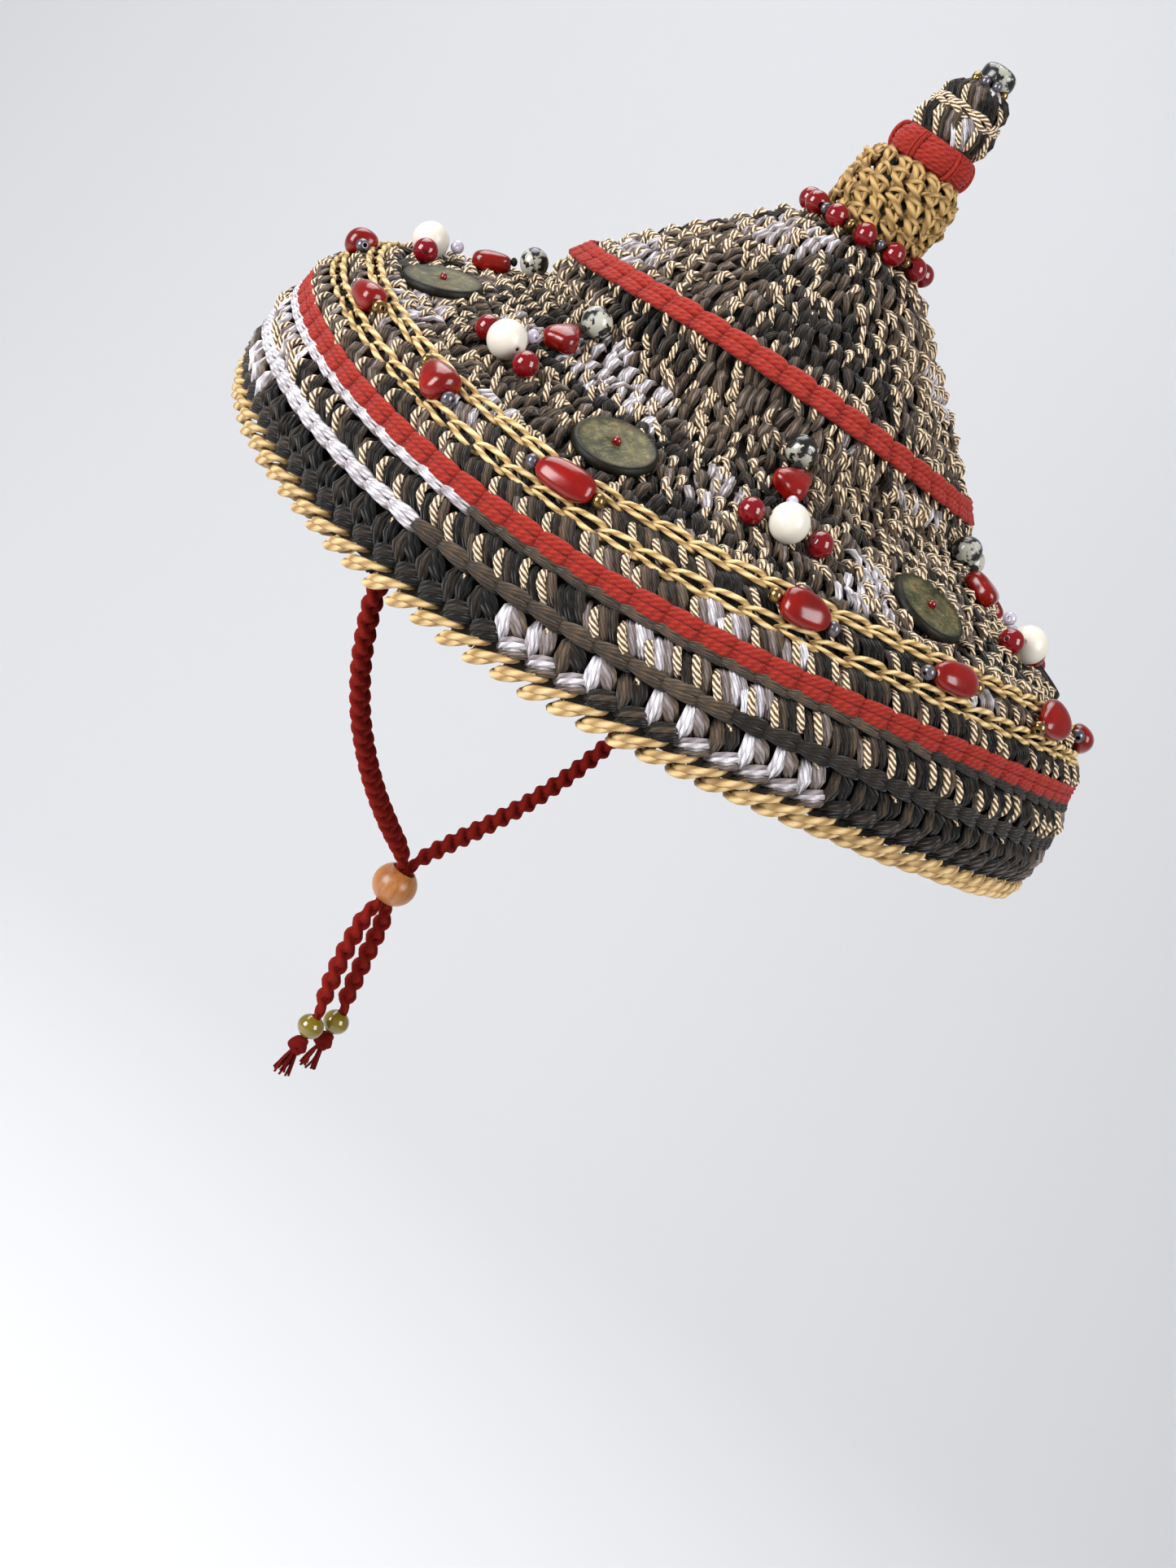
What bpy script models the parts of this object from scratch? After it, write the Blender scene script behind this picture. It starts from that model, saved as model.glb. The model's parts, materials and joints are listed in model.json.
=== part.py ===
"""A crocheted cone hat with a beaded brim, a bound finial and two chin cords.

Metres, +Z up.  The origin is on the hat's axis at the level where it sits on the head.
The wearer faces -Y.  Heights in the tables are millimetres above the rim.
"""
import math

import bmesh
import bpy
from mathutils import Matrix, Vector

MM = 0.001
GAP = 0.3
SEAT_HEIGHT = 70.0
SEGMENTS = 32

# Shell rows, crown middle outward: radius, height
STEM_RADIUS = 11.5
STEM_TOP = 170.7
CROWN_OUTER = (
    (19.0, 140.4), (23.5, 138.9), (28.0, 135.9), (32.5, 132.0), (43.0, 123.0), (54.0, 113.5),
    (63.0, 105.5), (71.6, 96.8), (75.3, 92.2), (78.3, 86.0), (77.8, 82.8),
)
CROWN_INNER = (
    (73.6, 81.2), (73.0, 85.5), (66.0, 94.8), (50.4, 109.3), (39.4, 118.8), (27.0, 130.3),
    (15.0, 135.3),
)
CROWN_MIDDLE = 136.0
BRIM_OUTER = (
    (77.4, 82.1), (79.5, 80.0), (88.5, 73.5), (100.0, 68.0), (118.0, 60.5), (131.0, 54.4),
    (135.3, 51.6), (139.3, 47.4), (142.2, 43.2), (144.7, 41.0), (144.9, 38.4), (145.8, 33.2),
    (147.5, 31.2), (147.3, 28.7), (149.2, 25.4), (148.7, 21.9), (150.0, 19.8), (149.4, 17.6),
    (150.6, 11.6), (149.7, 6.4), (149.0, 0.0),
)
BRIM_INNER = (
    (143.5, 0.0), (142.8, 24.0), (138.6, 36.5), (129.0, 48.8),
    (115.5, 55.5), (98.0, 62.8), (84.5, 69.2), (73.4, 80.3),
)
# The brim is a slope and a wall that meet under the lower raffia chain
BRIM_CUT_OUTER = (140.69, 45.38)
BRIM_CUT_INNER = (134.7, 42.8)
BRIM_SLOPE_ROWS = 8
BRIM_WALL_INNER_ROWS = 3
# Chains laid on the shell: the first of the two shell rows that they span, height
RED_CROWN_CHAIN = (CROWN_OUTER, 7, 3.4)
RAFFIA_CHAIN_UPPER = (BRIM_OUTER, 5, 1.9)
RAFFIA_CHAIN_LOWER = (BRIM_OUTER, 7, 1.9)
RED_BRIM_CHAIN = (BRIM_OUTER, 10, 2.4)
# Whipped edging round the rim: how far it rises outside and inside, thickness
EDGING_RISE = 5.6
EDGING_RISE_INSIDE = 3.6
EDGING_THICK = 1.2

# The soft brim's rise and fall round the hat, and the crown's drift and lean
BRIM_WAVE_2 = 5.2
BRIM_WAVE_3 = 2.1
CROWN_WAVE = 3.4
DRIFT_TOWARD = math.radians(125.0)
DRIFT = ((60.0, 0.0), (94.0, 5.6), (147.0, 7.6), (210.0, 1.4))

# Finial, heights above the rim
BEAD_RING_HEIGHT = 145.0
BEAD_RING_RADIUS = 21.2
BEAD_RING_COUNT = 12
BEAD_RING_ROWS = ((-3.0, 2.7), (-1.3, 3.85), (1.3, 3.85), (3.0, 2.7), (5.55, 1.6))
COLLAR_WALL = 2.0
COLLAR_ROWS = ((15.9, 141.5), (16.8, 147.0), (17.9, 158.0), (16.8, 166.0), (14.3, 170.7))
BAND_ROWS = ((12.6, 171.1), (14.4, 173.4), (14.5, 178.6), (12.4, 181.0))
TIP_ROWS = ((11.9, 181.4), (12.5, 185.5), (12.0, 192.0), (10.2, 198.5), (8.0, 201.6))
TIP_BEAD_ROWS = ((2.9, 202.1), (5.2, 203.9), (5.85, 206.3), (5.0, 209.0), (2.6, 210.4))

# Brim decorations: radius on the brim's top, and sizes
DISC_RADIUS = 12.8
DISC_THICK = 3.0
DISC_SEAT = 115.2
DISC_LIFT = 0.45
WHITE_RADIUS = 6.0
RED_RADIUS = 4.0
WHITE_SEAT = 112.9
RED_TURN = math.radians(5.4)
CHIP_SEAT = 92.8
CHIP_SIZE = (4.6, 6.4, 3.4)
SPOTTED_SEAT = 81.6
SPOTTED_RADIUS = 4.9
STONE_SEAT = 137.2
STONE_LIFT = 4.1
STONE_NARROW = 4.6
STONE_WIDTH_LIFT = 0.9
CHIP_LIFT = 0.7
SPOTTED_LIFT = 0.6
STRING_RADIUS = 1.0
# Discs: angle, tilt, both in degrees
DISCS = (
    (199.3, 2.0), (250.8, -2.0), (302.8, 3.0), (354.3, -1.0), (45.7, 2.0), (97.1, -2.0),
    (149.2, 3.0),
)
# Bead groups: angle in degrees, shift outward in mm
GROUPS = (
    (174.3, 0.0), (225.7, 0.0), (277.1, 1.5), (320.5, 6.0), (20.0, 1.0), (71.4, 0.0),
    (129.5, 7.0),
)
# Long stones: angle in degrees, half length, half width, half thickness, taper, turn in degrees
STONES = (
    (157.1, 7.0, 4.6, 4.0, 0.15, 8.0), (178.6, 7.2, 5.4, 4.0, 0.35, -14.0),
    (199.9, 9.2, 5.0, 3.9, 0.10, 3.0), (230.3, 7.6, 5.3, 4.1, -0.20, -6.0),
    (251.4, 8.2, 4.9, 4.0, 0.10, 5.0), (272.2, 6.9, 5.6, 4.2, 0.45, 20.0),
    (294.5, 7.0, 4.6, 3.9, -0.10, -8.0), (322.0, 7.4, 4.8, 4.0, 0.20, 6.0),
    (349.0, 7.8, 5.0, 4.0, -0.15, -5.0), (20.5, 7.2, 4.7, 3.9, 0.25, 9.0),
    (46.5, 8.0, 5.1, 4.1, 0.00, -3.0), (73.0, 7.0, 4.8, 4.0, -0.30, 7.0),
    (99.5, 7.6, 4.9, 4.0, 0.10, -6.0), (131.0, 7.0, 5.0, 4.0, 0.30, 12.0),
)

# Chin cords: each cord's top end, then the left cord's route x, y, height above the rim, radius
CORD_TOP = {"left": (87.0, 28.0, 61.6, 3.0), "right": (87.0, 28.0, 60.6, 3.0)}
CORD_ROUTE = (
    (88.0, 28.6, 20.0, 3.0), (86.0, 28.5, -20.0, 3.0),
    (76.0, 28.0, -45.0, 3.0), (62.0, 26.5, -66.0, 3.0), (48.0, 25.0, -81.0, 3.0),
    (34.0, 24.0, -93.0, 3.0), (19.5, 23.0, -103.5, 3.0), (7.6, 21.8, -111.5, 2.7),
    (2.5, 21.0, -117.0, 1.75), (2.0, 21.0, -125.0, 1.7), (2.5, 21.0, -133.0, 1.75),
    (5.0, 20.3, -140.0, 2.8), (5.9, 18.0, -156.0, 3.0), (5.7, 15.0, -170.0, 2.8),
)
CORD_STEP = 2.4
GREEN_BORE = 1.95
GREEN_RADIUS = 4.75
GREEN_HALF = 4.2
GREEN_HEIGHT = {"left": -179.5, "right": -182.5}
TAIL_X = 5.6
TAIL_Y = 12.8
CORD_THIN = 1.5
WOOD_HEIGHT = -125.0
WOOD_Y = 21.0
WOOD_RADIUS = 8.0
WOOD_BORE = 4.5
WOOD_HALF = 6.4
KNOT_ROWS = ((2.2, -0.6), (4.1, -2.6), (4.3, -5.0), (2.6, -7.4), (2.9, -11.5), (4.2, -17.5))

COLOURS = {
    "yarn_mix": ((0.20, 0.16, 0.13), 0.95, 0.0),
    "red_yarn": ((0.45, 0.05, 0.04), 0.95, 0.0),
    "raffia": ((0.66, 0.49, 0.22), 0.7, 0.0),
    "red_glass": ((0.30, 0.008, 0.014), 0.12, 0.0),
    "red_stone": ((0.50, 0.02, 0.02), 0.2, 0.0),
    "mixed_beads": ((0.62, 0.35, 0.32), 0.3, 0.0),
    "spotted_stone": ((0.42, 0.42, 0.37), 0.35, 0.0),
    "olive_disc": ((0.10, 0.12, 0.07), 0.35, 0.0),
    "braided_cord": ((0.19, 0.012, 0.014), 0.9, 0.0),
    "wood": ((0.40, 0.18, 0.07), 0.4, 0.0),
    "green_glass": ((0.20, 0.17, 0.02), 0.15, 0.0),
}


def clear_scene():
    for item in list(bpy.data.objects):
        bpy.data.objects.remove(item, do_unlink=True)


def material(name):
    found = bpy.data.materials.get(name)
    if found:
        return found
    colour, rough, metal = COLOURS[name]
    made = bpy.data.materials.new(name)
    made.use_nodes = True
    shader = made.node_tree.nodes["Principled BSDF"]
    shader.inputs["Base Color"].default_value = (*colour, 1.0)
    shader.inputs["Roughness"].default_value = rough
    shader.inputs["Metallic"].default_value = metal
    made.diffuse_color = (*colour, 1.0)
    return made


def add_object(name, points, faces, slot, sharp=50.0):
    """Makes a closed smooth-shaded mesh object from points in millimetres."""
    mesh = bpy.data.meshes.new(name)
    mesh.from_pydata([tuple(c * MM for c in p) for p in points], [], faces)
    work = bmesh.new()
    work.from_mesh(mesh)
    bmesh.ops.recalc_face_normals(work, faces=work.faces)
    work.to_mesh(mesh)
    work.free()
    mesh.shade_smooth()
    mesh.set_sharp_from_angle(angle=math.radians(sharp))
    mesh.materials.append(material(slot))
    made = bpy.data.objects.new(name, mesh)
    bpy.context.scene.collection.objects.link(made)
    return made


def mix(table, x):
    """Reads y at x from a table of (x, y) rows, held level beyond its ends."""
    if x <= table[0][0]:
        return table[0][1]
    for (x0, y0), (x1, y1) in zip(table, table[1:]):
        if x <= x1:
            return y0 + (y1 - y0) * (x - x0) / (x1 - x0)
    return table[-1][1]


def lift(height, angle):
    """How far the soft shell stands above a true turned shape there."""
    brim = min(max((94.0 - height) / 38.0, 0.0), 1.0)
    crown = min(max((height - 56.0) / 38.0, 0.0), 1.0)
    crown *= min(max((147.0 - height) / 53.0, 0.0), 1.0)
    front = angle - math.radians(270.0)
    wave = BRIM_WAVE_2 * math.cos(2.0 * front)
    wave += BRIM_WAVE_3 * math.cos(3.0 * angle - math.radians(58.0))
    return brim * wave + crown * CROWN_WAVE * math.cos(2.0 * angle - math.radians(77.5))


def place(radius, height, angle):
    """The point of the hat, in mm from the head seat, at a radius, height and angle."""
    drift = mix(DRIFT, height)
    x = radius * math.cos(angle) + drift * math.cos(DRIFT_TOWARD)
    y = radius * math.sin(angle) + drift * math.sin(DRIFT_TOWARD)
    return Vector((x, y, height + lift(height, angle) - SEAT_HEIGHT))


def turned(section, segments, poles=None):
    """Points and faces of a section turned round the hat's axis.

    Without poles the section is a closed loop; with them it runs from one pole to the other.
    """
    points = []
    faces = []
    count = len(section)
    for i in range(segments):
        angle = 2.0 * math.pi * i / segments
        points.extend(place(radius, height, angle) for radius, height in section)
    bands = count if poles is None else count - 1
    for i in range(segments):
        here = i * count
        there = (i + 1) % segments * count
        for k in range(bands):
            n = (k + 1) % count
            faces.append((here + k, there + k, there + n, here + n))
    if poles:
        for pole, row in zip(poles, (0, count - 1)):
            points.append(place(0.0, pole, 0.0))
            tip = len(points) - 1
            for i in range(segments):
                faces.append((tip, i * count + row, (i + 1) % segments * count + row))
    return points, faces


def crown():
    outer = [(STEM_RADIUS, STEM_TOP), (STEM_RADIUS, 141.2)] + list(CROWN_OUTER)
    return turned(outer + list(CROWN_INNER), SEGMENTS, (STEM_TOP, CROWN_MIDDLE))


def brim_section(side):
    """The brim's slope or wall, each ending half a gap from the cut between them."""
    (r0, z0), (r1, z1) = BRIM_OUTER[BRIM_SLOPE_ROWS - 1], BRIM_OUTER[BRIM_SLOPE_ROWS]
    back = GAP / 2.0 / math.hypot(r1 - r0, z1 - z0) * (1.0 if side == "wall" else -1.0)
    cut = [(r + (r1 - r0) * back, z + (z1 - z0) * back) for r, z in (BRIM_CUT_OUTER, BRIM_CUT_INNER)]
    if side == "slope":
        return list(BRIM_OUTER[:BRIM_SLOPE_ROWS]) + cut + list(BRIM_INNER[BRIM_WALL_INNER_ROWS:])
    wall = list(BRIM_OUTER[BRIM_SLOPE_ROWS:]) + list(BRIM_INNER[:BRIM_WALL_INNER_ROWS])
    return wall + list(reversed(cut))


def chain_on(rows, first, height):
    """A low chain laid over one band of the shell, clear of it by the gap."""
    (r0, z0), (r1, z1) = rows[first], rows[first + 1]
    length = math.hypot(r1 - r0, z1 - z0)
    along = ((r1 - r0) / length, (z1 - z0) / length)
    out = (-along[1], along[0])
    section = []
    for part, rise in ((0.04, GAP), (0.26, GAP + height), (0.74, GAP + height), (0.96, GAP)):
        at = part * length
        section.append((r0 + along[0] * at + out[0] * rise, z0 + along[1] * at + out[1] * rise))
    return turned(section, SEGMENTS)


def edging():
    """A whipped strip folded under the rim, from its outside to its inside."""
    outside = BRIM_OUTER[-2][0] + GAP
    inside = BRIM_INNER[0][0] - GAP
    foot = -GAP
    section = (
        (outside, EDGING_RISE), (outside, foot), (inside, foot), (inside, EDGING_RISE_INSIDE),
        (inside - EDGING_THICK, EDGING_RISE_INSIDE), (inside - EDGING_THICK, foot - EDGING_THICK),
        (outside + EDGING_THICK, foot - EDGING_THICK), (outside + EDGING_THICK, EDGING_RISE),
    )
    return turned(section, SEGMENTS)


def bead_ring():
    """Barrel beads and the small links between them, as one ring of changing thickness."""
    pitch = 2.0 * math.pi / BEAD_RING_COUNT
    sides = 8
    points = []
    faces = []
    for bead in range(BEAD_RING_COUNT):
        for step, thick in BEAD_RING_ROWS:
            angle = bead * pitch + step / BEAD_RING_RADIUS
            for k in range(sides):
                turn = 2.0 * math.pi * k / sides
                radius = BEAD_RING_RADIUS + thick * math.cos(turn)
                rise = Vector((0.0, 0.0, thick * math.sin(turn)))
                points.append(place(radius, BEAD_RING_HEIGHT, angle) + rise)
    rows = len(points) // sides
    for row in range(rows):
        for k in range(sides):
            n = (k + 1) % sides
            after = (row + 1) % rows * sides
            faces.append((row * sides + k, row * sides + n, after + n, after + k))
    return points, faces


def string_of(rows, sides):
    """One body along a line: rows of centre, direction, across, two radii; closed at both ends."""
    points = []
    faces = []
    for centre, direction, across, wide, thick in rows:
        second = direction.cross(across).normalized()
        for k in range(sides):
            turn = 2.0 * math.pi * k / sides
            points.append(centre + across * wide * math.cos(turn) + second * thick * math.sin(turn))
    for row in range(len(rows) - 1):
        for k in range(sides):
            n = (k + 1) % sides
            here = row * sides
            faces.append((here + k, here + n, here + sides + n, here + sides + k))
    faces.append(tuple(range(sides)))
    faces.append(tuple(len(points) - sides + k for k in range(sides)))
    return points, faces


def brim_frame(radius, angle, rise):
    """Place, along-the-round, uphill and outward directions on the brim's top."""
    for (r0, z0), (r1, z1) in zip(BRIM_OUTER, BRIM_OUTER[1:]):
        if radius <= r1:
            break
    slope = (z1 - z0) / (r1 - r0)
    height = z0 + slope * (radius - r0)
    step = 0.5
    down = place(radius + step, height + slope * step, angle)
    down -= place(radius - step, height - slope * step, angle)
    turn = step / radius
    along = place(radius, height, angle + turn) - place(radius, height, angle - turn)
    outward = down.cross(along).normalized()
    along.normalize()
    uphill = outward.cross(along).normalized()
    return place(radius, height, angle) + outward * rise, along, uphill, outward


def bead_rows(centre, direction, across, radius, stations):
    rows = []
    for at in stations:
        thick = radius * math.sqrt(1.0 - at * at)
        rows.append((centre + direction * radius * at, direction, across, thick, thick))
    return rows


def round_string(angle, shift):
    """Red, white and red beads strung along the round of the brim."""
    placed = []
    for turn, radius in ((-RED_TURN, RED_RADIUS), (0.0, WHITE_RADIUS), (RED_TURN, RED_RADIUS)):
        centre, _, _, outward = brim_frame(WHITE_SEAT + shift, angle + turn, radius + GAP)
        placed.append((centre, radius, outward))
    first = (placed[1][0] - placed[0][0]).normalized()
    last = (placed[2][0] - placed[1][0]).normalized()
    middle = (first + last).normalized()
    rows = []
    for (centre, radius, outward), direction in zip(placed, (first, middle, last)):
        stations = (-0.86, -0.38, 0.38, 0.86) if radius == WHITE_RADIUS else (-0.82, 0.0, 0.82)
        across = outward.cross(direction).normalized()
        if rows:
            between = (rows[-1][0] + centre - direction * radius) / 2.0
            rows.append((between, direction, across, STRING_RADIUS, STRING_RADIUS))
        rows.extend(bead_rows(centre, direction, across, radius, stations))
    return string_of(rows, 10)


def uphill_string(angle, shift):
    """A flat red chip and a spotted bead strung up the slope towards the crown."""
    chip, across, uphill, _ = brim_frame(CHIP_SEAT + shift, angle, CHIP_SIZE[2] + CHIP_LIFT)
    spotted, _, _, _ = brim_frame(SPOTTED_SEAT + shift * 0.5, angle, SPOTTED_RADIUS + SPOTTED_LIFT)
    rows = []
    for at in (-0.84, 0.0, 0.84):
        size = math.sqrt(1.0 - at * at)
        wide, long, thick = CHIP_SIZE
        rows.append((chip + uphill * long * at, uphill, across, wide * size, thick * size))
    direction = (spotted - chip).normalized()
    between = (rows[-1][0] + spotted - direction * SPOTTED_RADIUS) / 2.0
    rows.append((between, direction, across, STRING_RADIUS, STRING_RADIUS))
    rows.extend(bead_rows(spotted, direction, across, SPOTTED_RADIUS, (-0.8, 0.0, 0.8)))
    return string_of(rows, 8)


def centred(name, shape, slot):
    """Makes the object with its own origin at the middle of its points."""
    points, faces = shape
    middle = sum(points, Vector((0.0, 0.0, 0.0))) / len(points)
    made = add_object(name, [p - middle for p in points], faces, slot)
    made.location = middle * MM
    return made


def oriented(made, centre, along, uphill, outward, turn):
    """Places an object whose own axes run along the round, uphill and outward."""
    basis = Matrix((along, uphill, outward)).transposed().to_4x4()
    made.matrix_world = Matrix.Translation(centre * MM) @ basis @ Matrix.Rotation(turn, 4, "Z")


def disc_shape():
    """A round disc with a softened top edge, lying in its own XY plane."""
    sides = 14
    rows = ((DISC_RADIUS - 0.5, 0.0), (DISC_RADIUS, 0.9), (DISC_RADIUS - 1.0, DISC_THICK))
    points = []
    for radius, height in rows:
        for k in range(sides):
            turn = 2.0 * math.pi * k / sides
            points.append(Vector((radius * math.cos(turn), radius * math.sin(turn), height)))
    faces = [tuple(range(sides)), tuple(2 * sides + k for k in range(sides))]
    for row in range(2):
        for k in range(sides):
            n = (k + 1) % sides
            after = (row + 1) * sides
            faces.append((row * sides + k, row * sides + n, after + n, after + k))
    return points, faces


def stone_shape(half_length, half_width, half_thick, taper):
    """A tumbled long stone along its own X axis, fuller at one end."""
    rows = []
    ahead = Vector((1.0, 0.0, 0.0))
    across = Vector((0.0, 1.0, 0.0))
    for at in (-0.92, -0.4, 0.45, 0.92):
        size = (1.0 - abs(at) ** 2.6) ** 0.45 * (1.0 + taper * at)
        size = min(size, 1.06)
        thick = half_thick * min(size, 1.0)
        rows.append((ahead * half_length * at, ahead, across, half_width * size, thick))
    return string_of(rows, 8)


def smooth_route(rows):
    """Points of a smooth curve through the rows, spaced by a few diameters."""
    made = []
    last = len(rows) - 1
    for i in range(last):
        p0 = rows[max(i - 1, 0)]
        p1 = rows[i]
        p2 = rows[i + 1]
        p3 = rows[min(i + 2, last)]
        length = math.dist(p1[:3], p2[:3])
        pieces = max(1, round(length / (CORD_STEP * 2.0 * min(p1[3], p2[3]))))
        for k in range(pieces):
            t = k / pieces
            row = []
            for a, b, c, d in zip(p0, p1, p2, p3):
                value = 2.0 * b + (c - a) * t + (2.0 * a - 5.0 * b + 4.0 * c - d) * t * t
                row.append(0.5 * (value + (3.0 * b - a - 3.0 * c + d) * t ** 3))
            made.append(row)
    made.append(list(rows[last]))
    return made


def cord_rows(side):
    """The cord's own rows: down to its green bead, thin through it, ending over the knot."""
    bead = GREEN_HEIGHT[side]
    top = bead + GREEN_HALF
    low = bead - GREEN_HALF
    rows = (CORD_TOP[side],) + CORD_ROUTE + (
        (TAIL_X, TAIL_Y, top + 1.2, CORD_THIN), (TAIL_X, TAIL_Y, bead, CORD_THIN),
        (TAIL_X, TAIL_Y, low, CORD_THIN),
    )
    sign = 1.0 if side == "left" else -1.0
    return [(sign * x, y, z, r) for x, y, z, r in smooth_route(rows)]


def cord(side):
    rows = cord_rows(side)
    curve = bpy.data.curves.new("chin_cord_" + side, "CURVE")
    curve.dimensions = "3D"
    curve.bevel_depth = MM
    curve.bevel_resolution = 2
    curve.use_fill_caps = True
    curve.materials.append(material("braided_cord"))
    line = curve.splines.new("POLY")
    line.points.add(len(rows) - 1)
    for point, (x, y, z, radius) in zip(line.points, rows):
        point.co = (x * MM, y * MM, (z - SEAT_HEIGHT) * MM, 1.0)
        point.radius = radius
    line.use_smooth = True
    made = bpy.data.objects.new("chin_cord_" + side, curve)
    bpy.context.scene.collection.objects.link(made)


def bored_bead(name, slot, centre, size, sides):
    """A round bead with a straight vertical bore; size is bore, radius, half height."""
    bore, radius, half = size
    section = (
        (bore, -half), (radius * 0.72, -half * 0.92), (radius, -half * 0.3), (radius, half * 0.3),
        (radius * 0.72, half * 0.92), (bore, half),
    )
    count = len(section)
    points = []
    faces = []
    for i in range(sides):
        angle = 2.0 * math.pi * i / sides
        points.extend(Vector((r * math.cos(angle), r * math.sin(angle), z)) for r, z in section)
        there = (i + 1) % sides * count
        for k in range(count):
            n = (k + 1) % count
            faces.append((i * count + k, there + k, there + n, i * count + n))
    made = add_object(name, points, faces, slot)
    made.location = (centre[0] * MM, centre[1] * MM, (centre[2] - SEAT_HEIGHT) * MM)


def knot(side):
    """The overhand knot and short frayed end under a green bead."""
    sign = 1.0 if side == "left" else -1.0
    rows = []
    down = Vector((0.0, 0.0, -1.0))
    across = Vector((1.0, 0.0, 0.0))
    for radius, drop in KNOT_ROWS:
        rows.append((Vector((0.0, 0.0, drop)), down, across, radius, radius))
    points, faces = string_of(rows, 8)
    made = add_object("cord_knot_" + side, points, faces, "braided_cord")
    low = GREEN_HEIGHT[side] - GREEN_HALF - SEAT_HEIGHT
    made.location = (sign * TAIL_X * MM, TAIL_Y * MM, low * MM)


def build_shell():
    add_object("crown", *crown(), "yarn_mix")
    add_object("brim_slope", *turned(brim_section("slope"), SEGMENTS), "yarn_mix")
    add_object("brim_wall", *turned(brim_section("wall"), SEGMENTS), "yarn_mix")
    add_object("red_crown_chain", *chain_on(*RED_CROWN_CHAIN), "red_yarn")
    add_object("raffia_chain_upper", *chain_on(*RAFFIA_CHAIN_UPPER), "raffia")
    add_object("raffia_chain_lower", *chain_on(*RAFFIA_CHAIN_LOWER), "raffia")
    add_object("red_brim_chain", *chain_on(*RED_BRIM_CHAIN), "red_yarn")
    add_object("raffia_edging", *edging(), "raffia")


def build_finial():
    add_object("finial_bead_ring", *bead_ring(), "red_glass")
    inner = tuple((radius - COLLAR_WALL, height) for radius, height in reversed(COLLAR_ROWS))
    add_object("raffia_collar", *turned(COLLAR_ROWS + inner, 20), "raffia")
    for name, rows, sides, slot in (
        ("red_wrap_band", BAND_ROWS, 20, "red_yarn"), ("finial_tip", TIP_ROWS, 20, "yarn_mix"),
        ("tip_bead", TIP_BEAD_ROWS, 12, "spotted_stone"),
    ):
        add_object(name, *turned(rows, sides, (rows[0][1], rows[-1][1])), slot)


def build_brim_beads():
    disc_points, disc_faces = disc_shape()
    for index, (degrees, tilt) in enumerate(DISCS, 1):
        made = add_object(f"disc_{index}", disc_points, disc_faces, "olive_disc", 35.0)
        frame = brim_frame(DISC_SEAT, math.radians(degrees), DISC_LIFT)
        oriented(made, *frame, math.radians(tilt))
    for index, (degrees, shift) in enumerate(GROUPS, 1):
        angle = math.radians(degrees)
        centred(f"round_string_{index}", round_string(angle, shift), "mixed_beads")
        centred(f"uphill_string_{index}", uphill_string(angle, shift), "red_stone")
    for index, (degrees, length, width, thick, taper, turn) in enumerate(STONES, 1):
        points, faces = stone_shape(length, width, thick, taper)
        made = add_object(f"long_stone_{index}", points, faces, "red_stone")
        rise = STONE_LIFT + STONE_WIDTH_LIFT * (width - STONE_NARROW)
        frame = brim_frame(STONE_SEAT, math.radians(degrees), rise)
        oriented(made, *frame, math.radians(turn))


def build_cords():
    for side in ("left", "right"):
        cord(side)
        sign = 1.0 if side == "left" else -1.0
        centre = (sign * TAIL_X, TAIL_Y, GREEN_HEIGHT[side])
        size = (GREEN_BORE, GREEN_RADIUS, GREEN_HALF)
        bored_bead("green_bead_" + side, "green_glass", centre, size, 10)
        knot(side)
    size = (WOOD_BORE, WOOD_RADIUS, WOOD_HALF)
    bored_bead("wooden_bead", "wood", (0.0, WOOD_Y, WOOD_HEIGHT), size, 14)


clear_scene()
build_shell()
build_finial()
build_brim_beads()
build_cords()
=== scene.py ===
"""The crocheted cone hat, dressed: stitches, chains, beads, stones, finial and chin cords.

The tables below are in millimetres, with heights above the rim; the scene is in metres.
"""
import json
import math

import bpy
import numpy as np
from mathutils import Matrix, Vector

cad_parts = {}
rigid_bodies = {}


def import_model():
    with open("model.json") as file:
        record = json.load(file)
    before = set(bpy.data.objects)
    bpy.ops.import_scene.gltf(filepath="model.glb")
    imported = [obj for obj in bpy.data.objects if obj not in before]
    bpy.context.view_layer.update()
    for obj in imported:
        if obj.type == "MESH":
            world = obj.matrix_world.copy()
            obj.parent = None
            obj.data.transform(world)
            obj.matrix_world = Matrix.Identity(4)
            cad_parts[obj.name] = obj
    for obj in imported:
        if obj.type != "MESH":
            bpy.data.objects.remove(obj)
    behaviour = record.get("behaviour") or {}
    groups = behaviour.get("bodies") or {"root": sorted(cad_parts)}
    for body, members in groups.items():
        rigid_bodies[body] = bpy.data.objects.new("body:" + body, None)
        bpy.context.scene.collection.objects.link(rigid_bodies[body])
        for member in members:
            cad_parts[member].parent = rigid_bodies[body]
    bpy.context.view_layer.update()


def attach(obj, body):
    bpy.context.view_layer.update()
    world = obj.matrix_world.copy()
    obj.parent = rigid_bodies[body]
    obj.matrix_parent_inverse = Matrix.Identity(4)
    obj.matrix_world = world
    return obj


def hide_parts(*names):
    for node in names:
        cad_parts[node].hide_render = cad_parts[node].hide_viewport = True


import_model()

MM = 0.001
SEAT_HEIGHT = 70.0
TAU = 2.0 * math.pi

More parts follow.
